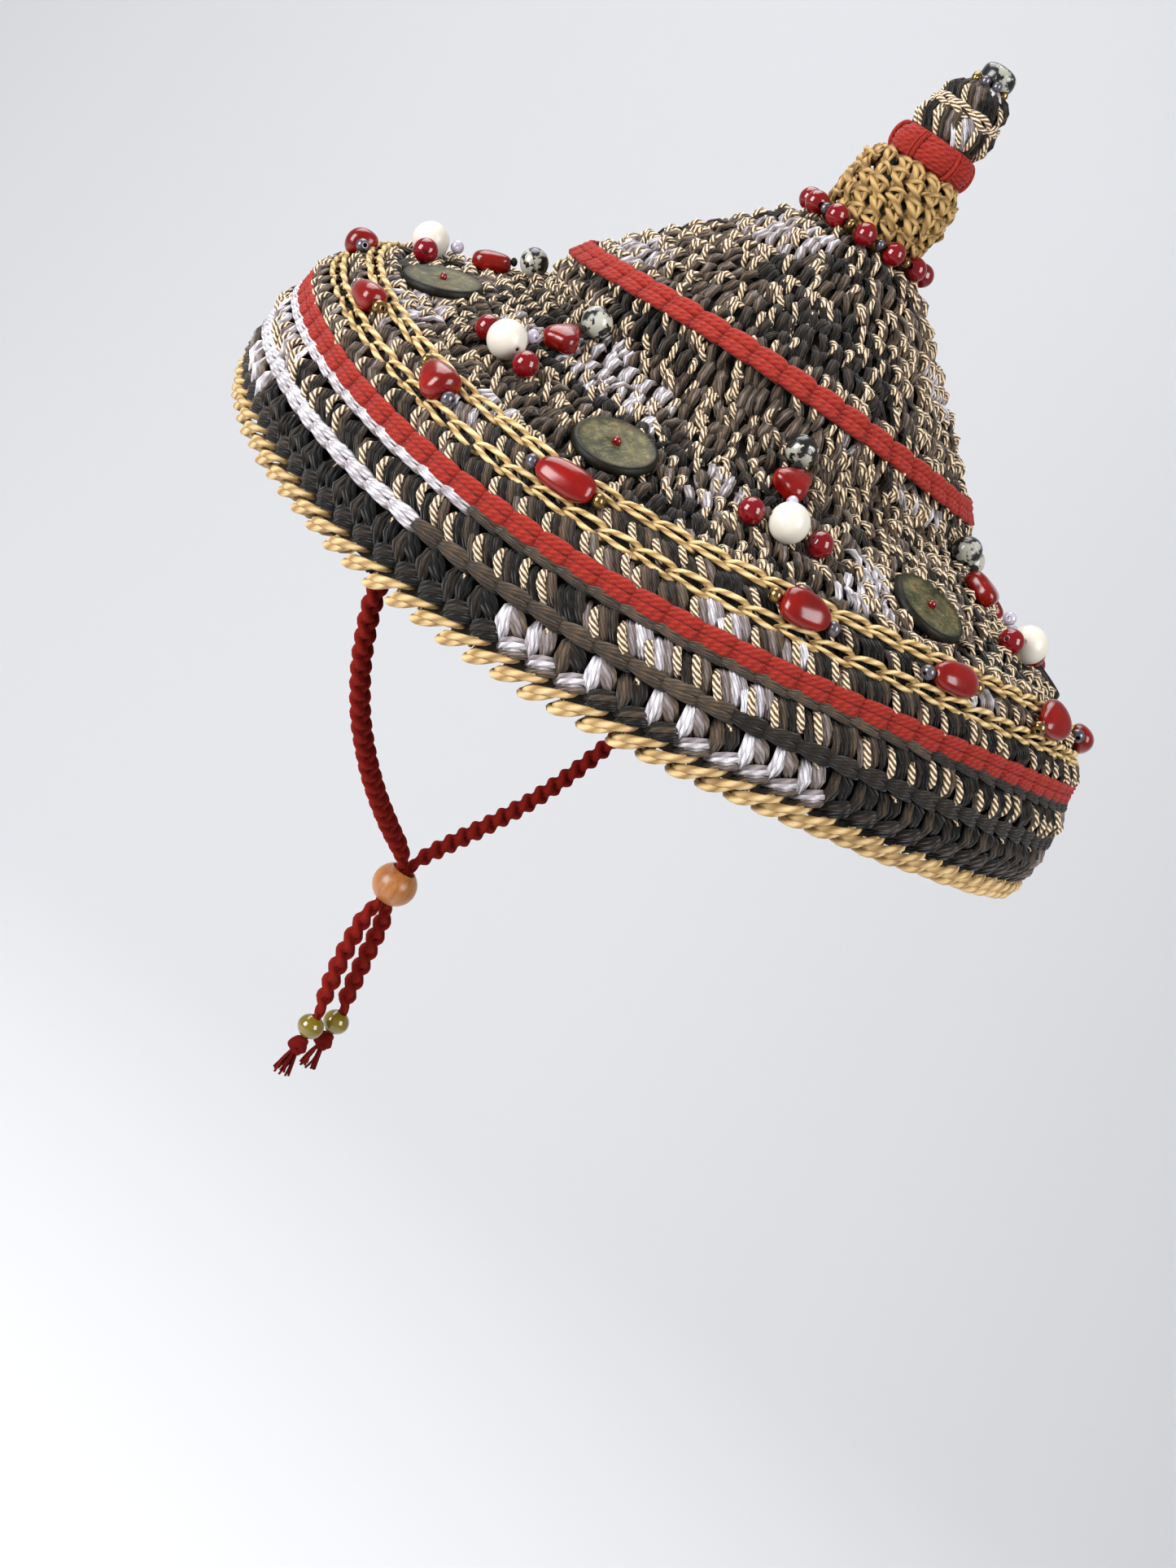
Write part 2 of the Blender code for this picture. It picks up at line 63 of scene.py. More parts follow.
# The shell's outer and inner rows: radius, height
CROWN_OUTER = (
    (0.0, 141.0), (11.5, 141.0), (19.0, 140.4), (23.5, 138.9), (28.0, 135.9), (32.5, 132.0),
    (43.0, 123.0), (54.0, 113.5), (63.0, 105.5), (71.6, 96.8), (75.3, 92.2), (78.3, 86.0),
    (77.8, 82.8),
)
CROWN_INNER = (
    (73.6, 81.2), (73.0, 85.5), (66.0, 94.8), (50.4, 109.3), (39.4, 118.8), (27.0, 130.3),
    (15.0, 135.3), (0.0, 136.0),
)
BRIM_OUTER = (
    (77.4, 82.1), (79.5, 80.0), (88.5, 73.5), (100.0, 68.0), (118.0, 60.5), (131.0, 54.4),
    (135.3, 51.6), (139.3, 47.4), (142.2, 43.2), (144.7, 41.0), (144.9, 38.4), (145.8, 33.2),
    (147.5, 31.2), (147.3, 28.7), (149.2, 25.4), (148.7, 21.9), (150.0, 19.8), (149.4, 17.6),
    (150.6, 11.6), (149.7, 6.4), (149.0, 0.0),
)
BRIM_INNER = (
    (143.5, 0.0), (143.4, 12.0), (142.4, 24.0), (138.6, 36.5), (134.7, 42.8), (129.0, 48.8),
    (115.5, 55.5), (98.0, 62.8), (84.5, 69.2), (73.4, 80.3),
)
# How far the cloth lies under the rows, how low it reaches, and the finial's stem
CLOTH_SINK = 1.9
LINING_SINK = 1.0
CLOTH_FOOT = 2.2
STEM_RADIUS = 10.6
STEM_TOP = 170.5

# The soft brim's rise and fall round the hat, and the heights where it fades into the crown's
BRIM_WAVE_2 = 5.2
BRIM_WAVE_3 = 2.1
CROWN_WAVE = 3.4
WAVE_2_TURN = math.radians(270.0)
WAVE_3_TURN = math.radians(58.0)
CROWN_WAVE_TURN = math.radians(77.5)
BRIM_TOP = 94.0
BLEND = 38.0
CROWN_TOP = 147.0
# The crown's drift and lean
DRIFT_TOWARD = math.radians(125.0)
DRIFT_HEIGHTS = (60.0, 94.0, 147.0, 210.0)
DRIFT_SIZES = (0.0, 5.6, 7.6, 1.4)

# Camera: the photograph's frame, and where the middle of the rim falls in it
PICTURE = (1445.0, 1927.0)
FOCAL_PIXELS = 2890.0
RIM_PIXEL = (776.0, 767.6)
CAMERA_DISTANCE = 780.0
CAMERA_AZIMUTH = math.radians(-55.0)
CAMERA_ELEVATION = math.radians(10.0)
CAMERA_ROLL = math.radians(34.3)
# Stage in metres: height of the floor, where it starts to sweep up, and the sweep's radius
FLOOR_HEIGHT = -0.95
SWEEP_START = 1.6
SWEEP_RADIUS = 1.3
MIDDLE = (0.0, 0.0, 0.0)
BACKDROP_SPOT = (2.3, 1.6, -0.2)
# Lights: name, place (right, up, toward the hat), size, power, what it points at
LIGHTS = (
    ("key", (-1.1, 0.8, 0.35), (0.9, 1.1), 40.0, MIDDLE),
    ("fill", (1.3, -0.1, 0.3), (0.8, 1.2), 26.0, MIDDLE),
    ("top", (0.1, 1.5, -0.9), (1.2, 1.0), 18.0, MIDDLE),
    ("backdrop", (0.3, 1.9, -2.0), (1.6, 1.0), 7.8, BACKDROP_SPOT),
)

# Chin cords: each cord's top end, then the left cord's route x, y, height, radius
CORD_TOP = {"left": (87.0, 28.0, 61.6, 3.0), "right": (87.0, 28.0, 60.6, 3.0)}
CORD_ROUTE = (
    (88.0, 28.6, 20.0, 3.0), (86.0, 28.5, -20.0, 3.0),
    (76.0, 28.0, -45.0, 3.0), (62.0, 26.5, -66.0, 3.0), (48.0, 25.0, -81.0, 3.0),
    (34.0, 24.0, -93.0, 3.0), (19.5, 23.0, -103.5, 3.0), (7.6, 21.8, -111.5, 2.7),
    (2.5, 21.0, -117.0, 1.75), (2.0, 21.0, -125.0, 1.7), (2.5, 21.0, -133.0, 1.75),
    (5.0, 20.3, -140.0, 2.8), (5.9, 18.0, -156.0, 3.0), (5.7, 15.0, -170.0, 2.8),
)
CORD_SIGN = {"left": 1.0, "right": -1.0}
GREEN_HEIGHT = {"left": -179.5, "right": -182.5}
GREEN_RADIUS = 4.75
GREEN_LENGTH = 8.8
GREEN_BORE = 1.75
# How far from the green bead's middle its cord ends in the knot
GREEN_HALF = 4.2
TAIL_X = 5.6
TAIL_Y = 12.8
CORD_THIN = 1.5
WOOD_PLACE = (0.0, 21.0, -125.0)
WOOD_RADIUS = 8.0
WOOD_HALF = 7.6
WOOD_BORE = 4.45


# The hat's surface

def lift(height, angle):
    """How far the soft shell stands above a true turned shape there."""
    brim = np.clip((BRIM_TOP - height) / BLEND, 0.0, 1.0)
    crown = np.clip((height - BRIM_TOP + BLEND) / BLEND, 0.0, 1.0)
    crown = crown * np.clip((CROWN_TOP - height) / (CROWN_TOP - BRIM_TOP), 0.0, 1.0)
    wave = BRIM_WAVE_2 * np.cos(2.0 * (angle - WAVE_2_TURN))
    wave = wave + BRIM_WAVE_3 * np.cos(3.0 * angle - WAVE_3_TURN)
    return brim * wave + crown * CROWN_WAVE * np.cos(2.0 * angle - CROWN_WAVE_TURN)


def place(radius, height, angle):
    """Points of the hat in mm from the head seat, from arrays of radius, height and angle."""
    drift = np.interp(height, DRIFT_HEIGHTS, DRIFT_SIZES)
    x = radius * np.cos(angle) + drift * math.cos(DRIFT_TOWARD)
    y = radius * np.sin(angle) + drift * math.sin(DRIFT_TOWARD)
    return np.stack([x, y, height + lift(height, angle) - SEAT_HEIGHT], axis=-1)


def running_length(path):
    """Length along a path up to each of its points."""
    steps = np.linalg.norm(np.diff(path, axis=0), axis=1)
    return np.concatenate([[0.0], np.cumsum(steps)])


class Slope:
    """A line of shell rows read by its distance from the row nearest the crown's middle."""

    def __init__(self, rows):
        self.rows = np.array(rows)
        self.ends = running_length(self.rows)

    def profile(self, distance):
        radius = np.interp(distance, self.ends, self.rows[:, 0])
        return radius, np.interp(distance, self.ends, self.rows[:, 1])

    def at_height(self, height):
        """Distance of the row at a height, where rows only fall."""
        return float(np.interp(-height, -self.rows[:, 1], self.ends))

    def frame(self, distance, angle, rise=0.0, inside=False):
        """Points, and outward, along-the-round and uphill directions."""
        distance, angle = np.broadcast_arrays(np.asarray(distance, float), np.asarray(angle, float))
        step, nudge = 1.2, 0.01
        above = place(*self.profile(distance - step), angle)
        below = place(*self.profile(distance + step), angle)
        radius, height = self.profile(distance)
        point = place(radius, height, angle)
        ahead = place(radius, height, angle + nudge) - place(radius, height, angle - nudge)
        outward = np.cross(below - above, ahead)
        outward /= np.linalg.norm(outward, axis=-1, keepdims=True)
        along = ahead / np.linalg.norm(ahead, axis=-1, keepdims=True)
        uphill = np.cross(outward, along)
        if inside:
            outward, along = -outward, -along
        return point + outward * np.asarray(rise)[..., None], outward, along, uphill


CROWN_SLOPE = Slope(CROWN_OUTER[1:])
BRIM_SLOPE = Slope(BRIM_OUTER)
CROWN_LINING = Slope(tuple(reversed(CROWN_INNER[:-1])))
BRIM_LINING = Slope(tuple(reversed(BRIM_INNER)))


# Camera, light and stage

def set_out(name, data):
    """A new object of this data, in the scene."""
    made = bpy.data.objects.new(name, data)
    bpy.context.scene.collection.objects.link(made)
    return made


def make_camera():
    """The photograph's view of the hat."""
    back = Vector((
        math.sin(CAMERA_AZIMUTH) * math.cos(CAMERA_ELEVATION),
        -math.cos(CAMERA_AZIMUTH) * math.cos(CAMERA_ELEVATION),
        math.sin(CAMERA_ELEVATION),
    ))
    right = Vector((math.cos(CAMERA_AZIMUTH), math.sin(CAMERA_AZIMUTH), 0.0))
    up = back.cross(right)
    # Picture axes: right, down, ahead, first rolled and then turned to put the rim in its place
    axes = Matrix((right, -up, -back))
    roll = Matrix.Rotation(CAMERA_ROLL, 3, "Z")
    aim = Vector((
        (RIM_PIXEL[0] - PICTURE[0] / 2.0) / FOCAL_PIXELS,
        (RIM_PIXEL[1] - PICTURE[1] / 2.0) / FOCAL_PIXELS, 1.0,
    ))
    turn = Vector((0.0, 0.0, 1.0)).rotation_difference(aim.normalized()).to_matrix()
    seen = turn @ roll @ axes
    basis = Matrix((seen[0], -seen[1], -seen[2])).transposed().to_4x4()
    rim = Vector((0.0, 0.0, -SEAT_HEIGHT * MM))
    data = bpy.data.cameras.new("Camera")
    data.sensor_width = 36.0
    data.lens = FOCAL_PIXELS / PICTURE[1] * data.sensor_width
    data.clip_start = 0.01
    camera = set_out("Camera", data)
    camera.matrix_world = Matrix.Translation(rim + back * CAMERA_DISTANCE * MM) @ basis
    bpy.context.scene.camera = camera


def soft_light(name, camera_place, size, power, target):
    """An area light placed in camera axes (right, up, toward the hat) in metres."""
    data = bpy.data.lights.new(name, "AREA")
    data.shape = "RECTANGLE"
    data.size, data.size_y = size
    data.energy = power
    lamp = set_out(name, data)
    lamp.visible_camera = False
    spot = bpy.context.scene.camera.matrix_world @ Vector(camera_place)
    aim = Vector(target) - spot
    lamp.matrix_world = Matrix.Translation(spot) @ aim.to_track_quat("-Z", "Y").to_matrix().to_4x4()


def make_world():
    """Faint even light from all round."""
    world = bpy.data.worlds.new("studio")
    bpy.context.scene.world = world
    world.use_nodes = True
    ground = world.node_tree.nodes["Background"]
    ground.inputs["Color"].default_value = (0.90, 0.89, 0.90, 1.0)
    ground.inputs["Strength"].default_value = 0.34


def make_floor():
    """A pale floor that sweeps up into a backdrop behind the hat."""
    near, top, half_width, steps = -4.0, 6.0, 6.0, 16
    profile = [(near, FLOOR_HEIGHT), (SWEEP_START, FLOOR_HEIGHT)]
    for k in range(1, steps + 1):
        turn = math.pi / 2.0 * k / steps
        ahead = SWEEP_START + SWEEP_RADIUS * math.sin(turn)
        profile.append((ahead, FLOOR_HEIGHT + SWEEP_RADIUS * (1.0 - math.cos(turn))))
    profile.append((SWEEP_START + SWEEP_RADIUS, top))
    away = Vector((-math.sin(CAMERA_AZIMUTH), math.cos(CAMERA_AZIMUTH), 0.0))
    side = Vector((math.cos(CAMERA_AZIMUTH), math.sin(CAMERA_AZIMUTH), 0.0))
    points = []
    for ahead, height in profile:
        for half in (-half_width, half_width):
            points.append(away * ahead + side * half + Vector((0.0, 0.0, height)))
    faces = [(2 * k, 2 * k + 1, 2 * k + 3, 2 * k + 2) for k in range(len(profile) - 1)]
    mesh = bpy.data.meshes.new("floor")
    mesh.from_pydata(points, [], faces)
    mesh.shade_smooth()
    paper = bpy.data.materials.new("pale_floor")
    paper.use_nodes = True
    shader = paper.node_tree.nodes["Principled BSDF"]
    shader.inputs["Base Color"].default_value = (0.85, 0.86, 0.885, 1.0)
    shader.inputs["Roughness"].default_value = 0.9
    mesh.materials.append(paper)
    set_out("floor", mesh)


# Building closed meshes

def store(mesh, name, kind, values):
    """Keeps a value for each point of a mesh under a name."""
    field = "vector" if kind == "FLOAT_VECTOR" else "value"
    values = np.ascontiguousarray(values, np.int32 if kind == "INT" else np.float32)
    mesh.attributes.new(name, kind, "POINT").data.foreach_set(field, values.reshape(-1))


class Pieces:
    """Closed strands and solids in mm, gathered into one mesh with a strand UV and a shade."""

    def __init__(self):
        self.points = []
        self.faces = []
        self.uvs = []
        self.slots = []
        self.shades = []
        self.count = 0

    def add(self, points, faces, uvs=None, slot=0, shade=0.5):
        self.points.append(np.asarray(points, float))
        uvs = uvs or [[(0.0, 0.0)] * len(face) for face in faces]
        for face, uv in zip(faces, uvs):
            self.faces.append([int(v) + self.count for v in face])
            self.uvs.extend(uv)
        self.slots.extend([slot] * len(faces))
        self.shades.append(np.broadcast_to(np.asarray(shade, float), (len(points),)))
        self.count += len(points)

    def mesh(self, name, materials=()):
        made = bpy.data.meshes.new(name)
        made.from_pydata((np.concatenate(self.points) * MM).tolist(), [], self.faces)
        layer = made.uv_layers.new(name="strand")
        layer.data.foreach_set("uv", np.asarray(self.uvs, np.float32).reshape(-1))
        made.polygons.foreach_set("material_index", self.slots)
        store(made, "shade", "FLOAT", np.concatenate(self.shades))
        for item in materials:
            made.materials.append(item)
        made.shade_smooth()
        made.update()
        return made

    def build(self, name, materials, body_slot, *nodes):
        return mount(set_out(name, self.mesh(name, materials)), body_slot, *nodes)


def mount(made, body_slot, *nodes):
    """Fixes a finished piece to the hat, in place of the solids that it dresses."""
    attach(made, "root")
    if nodes:
        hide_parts(*nodes)
    return made


def moving_axes(path, up, closed):
    """Side and out axes carried along a path without twisting."""
    if closed:
        ahead = np.roll(path, -1, axis=0) - np.roll(path, 1, axis=0)
    else:
        ahead = np.gradient(path, axis=0)
    ahead = ahead / np.linalg.norm(ahead, axis=1, keepdims=True)
    out = np.empty_like(path)
    last = np.asarray(up, float)
    for i, direction in enumerate(ahead):
        last = last - direction * np.dot(last, direction)
        size = np.linalg.norm(last)
        if size < 1e-6:
            last = np.cross(direction, (0.3, 0.9, 0.2))
            size = np.linalg.norm(last)
        last = last / size
        out[i] = last
    return np.cross(out, ahead), out


def skin(length, sides, closing=None):
    """Faces and strand UVs over rings at these lengths; closing is the length back at the start."""
    count = len(length)
    faces = []
    uvs = []
    for i in range(count - 1 if closing is None else count):
        j = (i + 1) % count
        u0, u1 = length[i], length[j] if j else closing
        for k in range(sides):
            n = (k + 1) % sides
            faces.append((i * sides + k, j * sides + k, j * sides + n, i * sides + n))
            v0, v1 = k / sides, (k + 1) / sides
            uvs.append(((u0, v0), (u1, v0), (u1, v1), (u0, v1)))
    if closing is None:
        faces.append(tuple(range(sides)))
        uvs.append([(0.0, k / sides) for k in range(sides)])
        faces.append(tuple((count - 1) * sides + k for k in reversed(range(sides))))
        uvs.append([(length[-1], k / sides) for k in reversed(range(sides))])
    return faces, uvs


def tube(path, wide, thick, sides, up=(0.0, 0.0, 1.0), closed=False, lobes=0, lobe=0.0):
    """A closed tube along a path; wide and thick are its two radii at each point."""
    path = np.asarray(path, float)
    wide = np.broadcast_to(np.asarray(wide, float), (len(path),))
    thick = np.broadcast_to(np.asarray(thick, float), (len(path),))
    side, out = moving_axes(path, up, closed)
    length = running_length(path)
    turn = TAU * np.arange(sides) / sides
    swell = 1.0 + lobe * np.cos(lobes * turn)[None, :]
    x = wide[:, None] * swell * np.cos(turn)[None, :]
    y = thick[:, None] * swell * np.sin(turn)[None, :]
    points = path[:, None] + side[:, None] * x[..., None] + out[:, None] * y[..., None]
    closing = length[-1] + np.linalg.norm(path[0] - path[-1]) if closed else None
    return points.reshape(-1, 3), *skin(length, sides, closing)


def arch(start, end, rise, bow, count):
    """A path from start to end that stands up by rise and bows sideways."""
    start = np.asarray(start, float)
    end = np.asarray(end, float)
    t = np.linspace(0.0, 1.0, count)[:, None]
    ahead = end - start
    side = np.array([-ahead[1], ahead[0], 0.0])
    side = side / max(np.linalg.norm(side), 1e-6)
    hump = np.sin(math.pi * t)
    return start + ahead * t + np.array([0.0, 0.0, rise]) * hump + side * bow * hump


def smooth_path(rows, spacing):
    """A smooth curve through the rows, with points about a spacing apart."""
    rows = np.asarray(rows, float)
    made = []
    last = len(rows) - 1
    for i in range(last):
        p0, p1, p2, p3 = rows[max(i - 1, 0)], rows[i], rows[i + 1], rows[min(i + 2, last)]
        count = max(1, round(float(np.linalg.norm(p2[:3] - p1[:3])) / spacing))
        for k in range(count):
            t = k / count
            value = 2.0 * p1 + (p2 - p0) * t + (2.0 * p0 - 5.0 * p1 + 4.0 * p2 - p3) * t * t
            made.append(0.5 * (value + (3.0 * p1 - p0 - 3.0 * p2 + p3) * t ** 3))
    made.append(rows[last])
    return np.array(made)


# Materials

class Finish:
    """A node material being put together."""

    def __init__(self, name, rough=0.9):
        self.material = bpy.data.materials.new(name)
        self.material.use_nodes = True
        self.tree = self.material.node_tree
        self.shader = self.tree.nodes["Principled BSDF"]
        self.shader.inputs["Roughness"].default_value = rough

    def node(self, kind, **settings):
        made = self.tree.nodes.new(kind)
        for key, value in settings.items():
            setattr(made, key, value)
        return made

    def link(self, start, end):
        self.tree.links.new(start, end)

    def math(self, operation, first, second=None, third=None):
        made = self.node("ShaderNodeMath", operation=operation)
        for index, value in enumerate((first, second, third)):
            if value is None:
                continue
            if isinstance(value, (int, float)):
                made.inputs[index].default_value = value
            else:
                self.link(value, made.inputs[index])
        return made.outputs[0]

    def uv(self):
        found = self.node("ShaderNodeUVMap", uv_map="strand")
        parts = self.node("ShaderNodeSeparateXYZ")
        self.link(found.outputs["UV"], parts.inputs[0])
        return found.outputs["UV"], parts.outputs[0], parts.outputs[1]

    def scaled(self, vector, scale):
        made = self.node("ShaderNodeMapping")
        made.inputs["Scale"].default_value = scale
        self.link(vector, made.inputs["Vector"])
        return made.outputs[0]

    def noise(self, vector, scale, detail, rough=0.5):
        made = self.node("ShaderNodeTexNoise")
        made.inputs["Scale"].default_value = scale
        made.inputs["Detail"].default_value = detail
        made.inputs["Roughness"].default_value = rough
        self.link(vector, made.inputs["Vector"])
        return made.outputs["Fac"]

    def ramp(self, value, stops):
        made = self.node("ShaderNodeValToRGB")
        while len(made.color_ramp.elements) < len(stops):
            made.color_ramp.elements.new(0.5)
        for element, (at, colour) in zip(made.color_ramp.elements, stops):
            element.position = at
            element.color = (*hexed(colour), 1.0)
        self.link(value, made.inputs["Fac"])
        return made.outputs["Color"]

    def blend(self, factor, first, second, mode="MIX"):
        made = self.node("ShaderNodeMix", data_type="RGBA", blend_type=mode)
        for index, value in ((0, factor), (6, first), (7, second)):
            if isinstance(value, (int, float)):
                made.inputs[index].default_value = value
            elif isinstance(value, str):
                made.inputs[index].default_value = (*hexed(value), 1.0)
            else:
                self.link(value, made.inputs[index])
        return made.outputs[2]

    def attribute(self, name):
        made = self.node("ShaderNodeAttribute", attribute_name=name)
        return made.outputs["Fac"]

    def place(self):
        return self.node("ShaderNodeTexCoord").outputs["Object"]

    def total(self, *parts, shift=0.0):
        """Values added up, each times its weight."""
        made = shift
        for value, weight in parts:
            made = self.math("MULTIPLY_ADD", value, weight, made)
        return made

    def veins(self, noise, width):
        """1 along the thin lines where a noise passes its middle value."""
        return self.math("LESS_THAN", self.math("ABSOLUTE", self.math("SUBTRACT", noise, 0.5)), width)

    def ply(self, along, around, twists, pace):
        """Strands wound round each other, 0 in the grooves and 1 on top."""
        turn = self.total((around, twists * TAU), (along, pace))
        return self.total((self.math("SINE", turn), 0.5), shift=0.5)

    def colour(self, value):
        if isinstance(value, str):
            self.shader.inputs["Base Color"].default_value = (*hexed(value), 1.0)
        else:
            self.link(value, self.shader.inputs["Base Color"])

    def bump(self, height, strength, distance):
        made = self.node("ShaderNodeBump")
        made.inputs["Strength"].default_value = strength
        made.inputs["Distance"].default_value = distance * MM
        self.link(height, made.inputs["Height"])
        self.link(made.outputs[0], self.shader.inputs["Normal"])

    def set(self, **values):
        for key, value in values.items():
            self.shader.inputs[key.replace("_", " ")].default_value = value


def hexed(text):
    """Linear colour from a hex colour."""
    parts = [int(text[i:i + 2], 16) / 255.0 for i in (1, 3, 5)]
    return [p / 12.92 if p < 0.04045 else ((p + 0.055) / 1.055) ** 2.4 for p in parts]


def yarn_finish():
    """Soft spun yarn: long fibre streaks, plies, and a colour run read from the shade, with painted shade
    in the grooves between the plies and toward each stitch's feet.
    """
    made = Finish("mixed_yarn", 0.95)
    uv, along, around = made.uv()
    streak = made.noise(made.scaled(uv, (0.25, 9.0, 1.0)), 2.0, 3.0, 0.6)
    # The tint attribute holds each ply's own tone and the painted shade toward the stitch's feet
    shade, tint_and_painted_shade = made.attribute("shade"), made.attribute("tint_and_painted_shade")
    base = made.ramp(made.total((shade, 1.0), (tint_and_painted_shade, 1.0), (streak, 0.26), shift=-0.13), (
        (0.05, "#070504"), (0.28, "#271f18"), (0.52, "#6a5745"), (0.76, "#a69ca0"), (0.95, "#f6f3fa"),
    ))
    ply = made.ply(along, around, 3.0, 1.4)
    # Painted shade: the colour is multiplied darker in the grooves between the plies
    depth = made.total((made.math("POWER", ply, 0.5), 0.6), shift=0.42)
    grey = made.node("ShaderNodeCombineColor")
    for index in range(3):
        made.link(depth, grey.inputs[index])
    made.colour(made.blend(1.0, base, grey.outputs[0], "MULTIPLY"))
    made.bump(made.total((ply, 1.0), (streak, 0.8)), 0.7, 0.5)
    made.set(Sheen_Weight=0.15, Sheen_Roughness=0.5, Specular_IOR_Level=0.25)
    return made.material


def rope_finish():
    """Gold two-ply twist: painted shade in the valleys between the plies, gold between, and a painted
    highlight on their crests.
    """
    made = Finish("gold_twist", 0.5)
    uv, along, around = made.uv()
    ply = made.ply(along, around, 4.0, TAU / 1.9)
    fibre = made.noise(made.scaled(uv, (1.2, 14.0, 1.0)), 2.0, 2.0)
    # Painted shade and highlight: dark brown where the plies dip, cream on their tops
    tone = made.total((made.math("POWER", ply, 0.8), 1.0), (fibre, 0.4), shift=-0.18)
    made.colour(made.ramp(tone, (
        (0.05, "#20130a"), (0.3, "#6f4a2a"), (0.55, "#c09260"), (0.84, "#fbe6c0"),
    )))
    made.bump(ply, 1.0, 0.5)
    made.set(Sheen_Weight=0.2, Specular_IOR_Level=0.6)
    return made.material


def raffia_finish(name, *stops):
    """Dry straw strand: lengthwise grain and a loose twist, with painted shade in the twist's grooves and
    toward the strand's feet.
    """
    made = Finish(name, 0.62)
    uv, along, around = made.uv()
    grain = made.noise(made.scaled(uv, (0.2, 16.0, 1.0)), 2.0, 3.0)
    wide = made.noise(made.place(), 55.0, 2.0)
    ply = made.ply(along, around, 2.0, 1.1)
    tint_and_painted_shade = made.attribute("tint_and_painted_shade")
    # Grain and the wide noise are the straw's own colour; the ply term is painted shade in the twist's
    # grooves, and the tint attribute carries painted shade toward the feet
    tone = made.total((grain, 0.55), (ply, 0.45), (wide, 0.3), (tint_and_painted_shade, 1.0), shift=-0.15)
    made.colour(made.ramp(tone, tuple(zip((0.12, 0.40, 0.66, 0.95), stops))))
    made.bump(made.total((grain, 1.0), (ply, 0.7)), 0.7, 0.4)
    made.set(Specular_IOR_Level=0.45)
    return made.material


def red_yarn_finish():
    """Matte red wool in fine plies, with painted shade in the ply grooves and toward each link's feet."""
    made = Finish("red_wool", 0.95)
    uv, along, around = made.uv()
    ply = made.ply(along, around, 3.0, TAU / 2.7)
    fibre = made.noise(made.scaled(uv, (1.0, 14.0, 1.0)), 2.0, 3.0)
    # Painted shade: the ply term darkens the grooves, and the tint attribute darkens the low ends of each
    # link, under the neighbouring link
    tone = made.total((ply, 0.24), (fibre, 0.8), (made.attribute("tint_and_painted_shade"), 1.3))
    made.colour(made.ramp(tone, (
        (0.05, "#2c0605"), (0.3, "#761610"), (0.6, "#9f2b1f"), (1.0, "#ba4a35"),
    )))
    made.bump(made.total((ply, 0.5), (fibre, 1.0)), 0.6, 0.5)
    made.set(Sheen_Weight=0.08, Sheen_Roughness=0.5, Specular_IOR_Level=0.2)
    return made.material


def cord_finish():
    """Dark red braided cord, with painted shade in the grooves."""
    made = Finish("dark_red_braid", 0.9)
    uv, _, _ = made.uv()
    fibre = made.noise(made.scaled(uv, (2.5, 10.0, 1.0)), 2.0, 3.0)
    # The shade attribute is painted shade from the plait's grooves on the braid, and a plain tone on the
    # knot and its frays
    tone = made.total((made.attribute("shade"), 0.75), (fibre, 0.4))
    made.colour(made.ramp(tone, (
        (0.15, "#120101"), (0.5, "#430604"), (0.8, "#620d08"), (1.0, "#7e1c13"),
    )))
    made.bump(fibre, 0.8, 0.4)
    made.set(Specular_IOR_Level=0.1)
    return made.material


def cloth_finish():
    """The dark cloth behind the stitches, worked in rounds."""
    made = Finish("worked_cloth", 1.0)
    place_noise = made.noise(made.place(), 160.0, 3.0)
    made.colour(made.ramp(place_noise, ((0.3, "#15110e"), (0.7, "#3a3128"))))
    made.bump(place_noise, 0.8, 1.0)
    return made.material


def stone_finish(name, low, high, rough):
    """Polished stone with faint veins and pits."""
    made = Finish(name, rough)
    where = made.place()
    cloud = made.noise(where, 120.0, 3.0)
    vein = made.noise(where, 420.0, 6.0, 0.7)
    thin = made.veins(vein, 0.006)
    base = made.ramp(cloud, ((0.3, low), (0.7, high)))
    made.colour(made.blend(made.math("MULTIPLY", thin, 0.5), base, "#3a0508"))
    made.bump(cloud, 0.15, 0.3)
    made.set(Coat_Weight=0.2, Coat_Roughness=0.14, Specular_IOR_Level=0.4)
    return made.material


def plain_finish(name, colour, rough, **values):
    """One colour that clouds a little toward a second one."""
    made = Finish(name, rough)
    cloud = made.noise(made.place(), 260.0, 2.0)
    made.colour(made.blend(made.math("MULTIPLY", cloud, 0.35), colour, values.pop("second", colour)))
    made.bump(cloud, 0.08, 0.2)
    made.set(**values)
    return made.material


def spotted_finish(low=0.51):
    """Cream-grey stone with black blotches."""
    made = Finish("spotted_stone", 0.28)
    where = made.place()
    blotch = made.noise(where, 210.0, 5.0, 0.62)
    cloud = made.noise(where, 90.0, 2.0)
    cream = made.ramp(cloud, ((0.3, "#838479"), (0.7, "#bfbdb0")))
    mask = made.node("ShaderNodeValToRGB")
    mask.color_ramp.elements[0].position = low
    mask.color_ramp.elements[1].position = low + 0.03
    made.link(blotch, mask.inputs["Fac"])
    made.colour(made.blend(mask.outputs["Color"], cream, "#0e0f10"))
    made.set(Coat_Weight=0.4, Coat_Roughness=0.1)
    return made.material


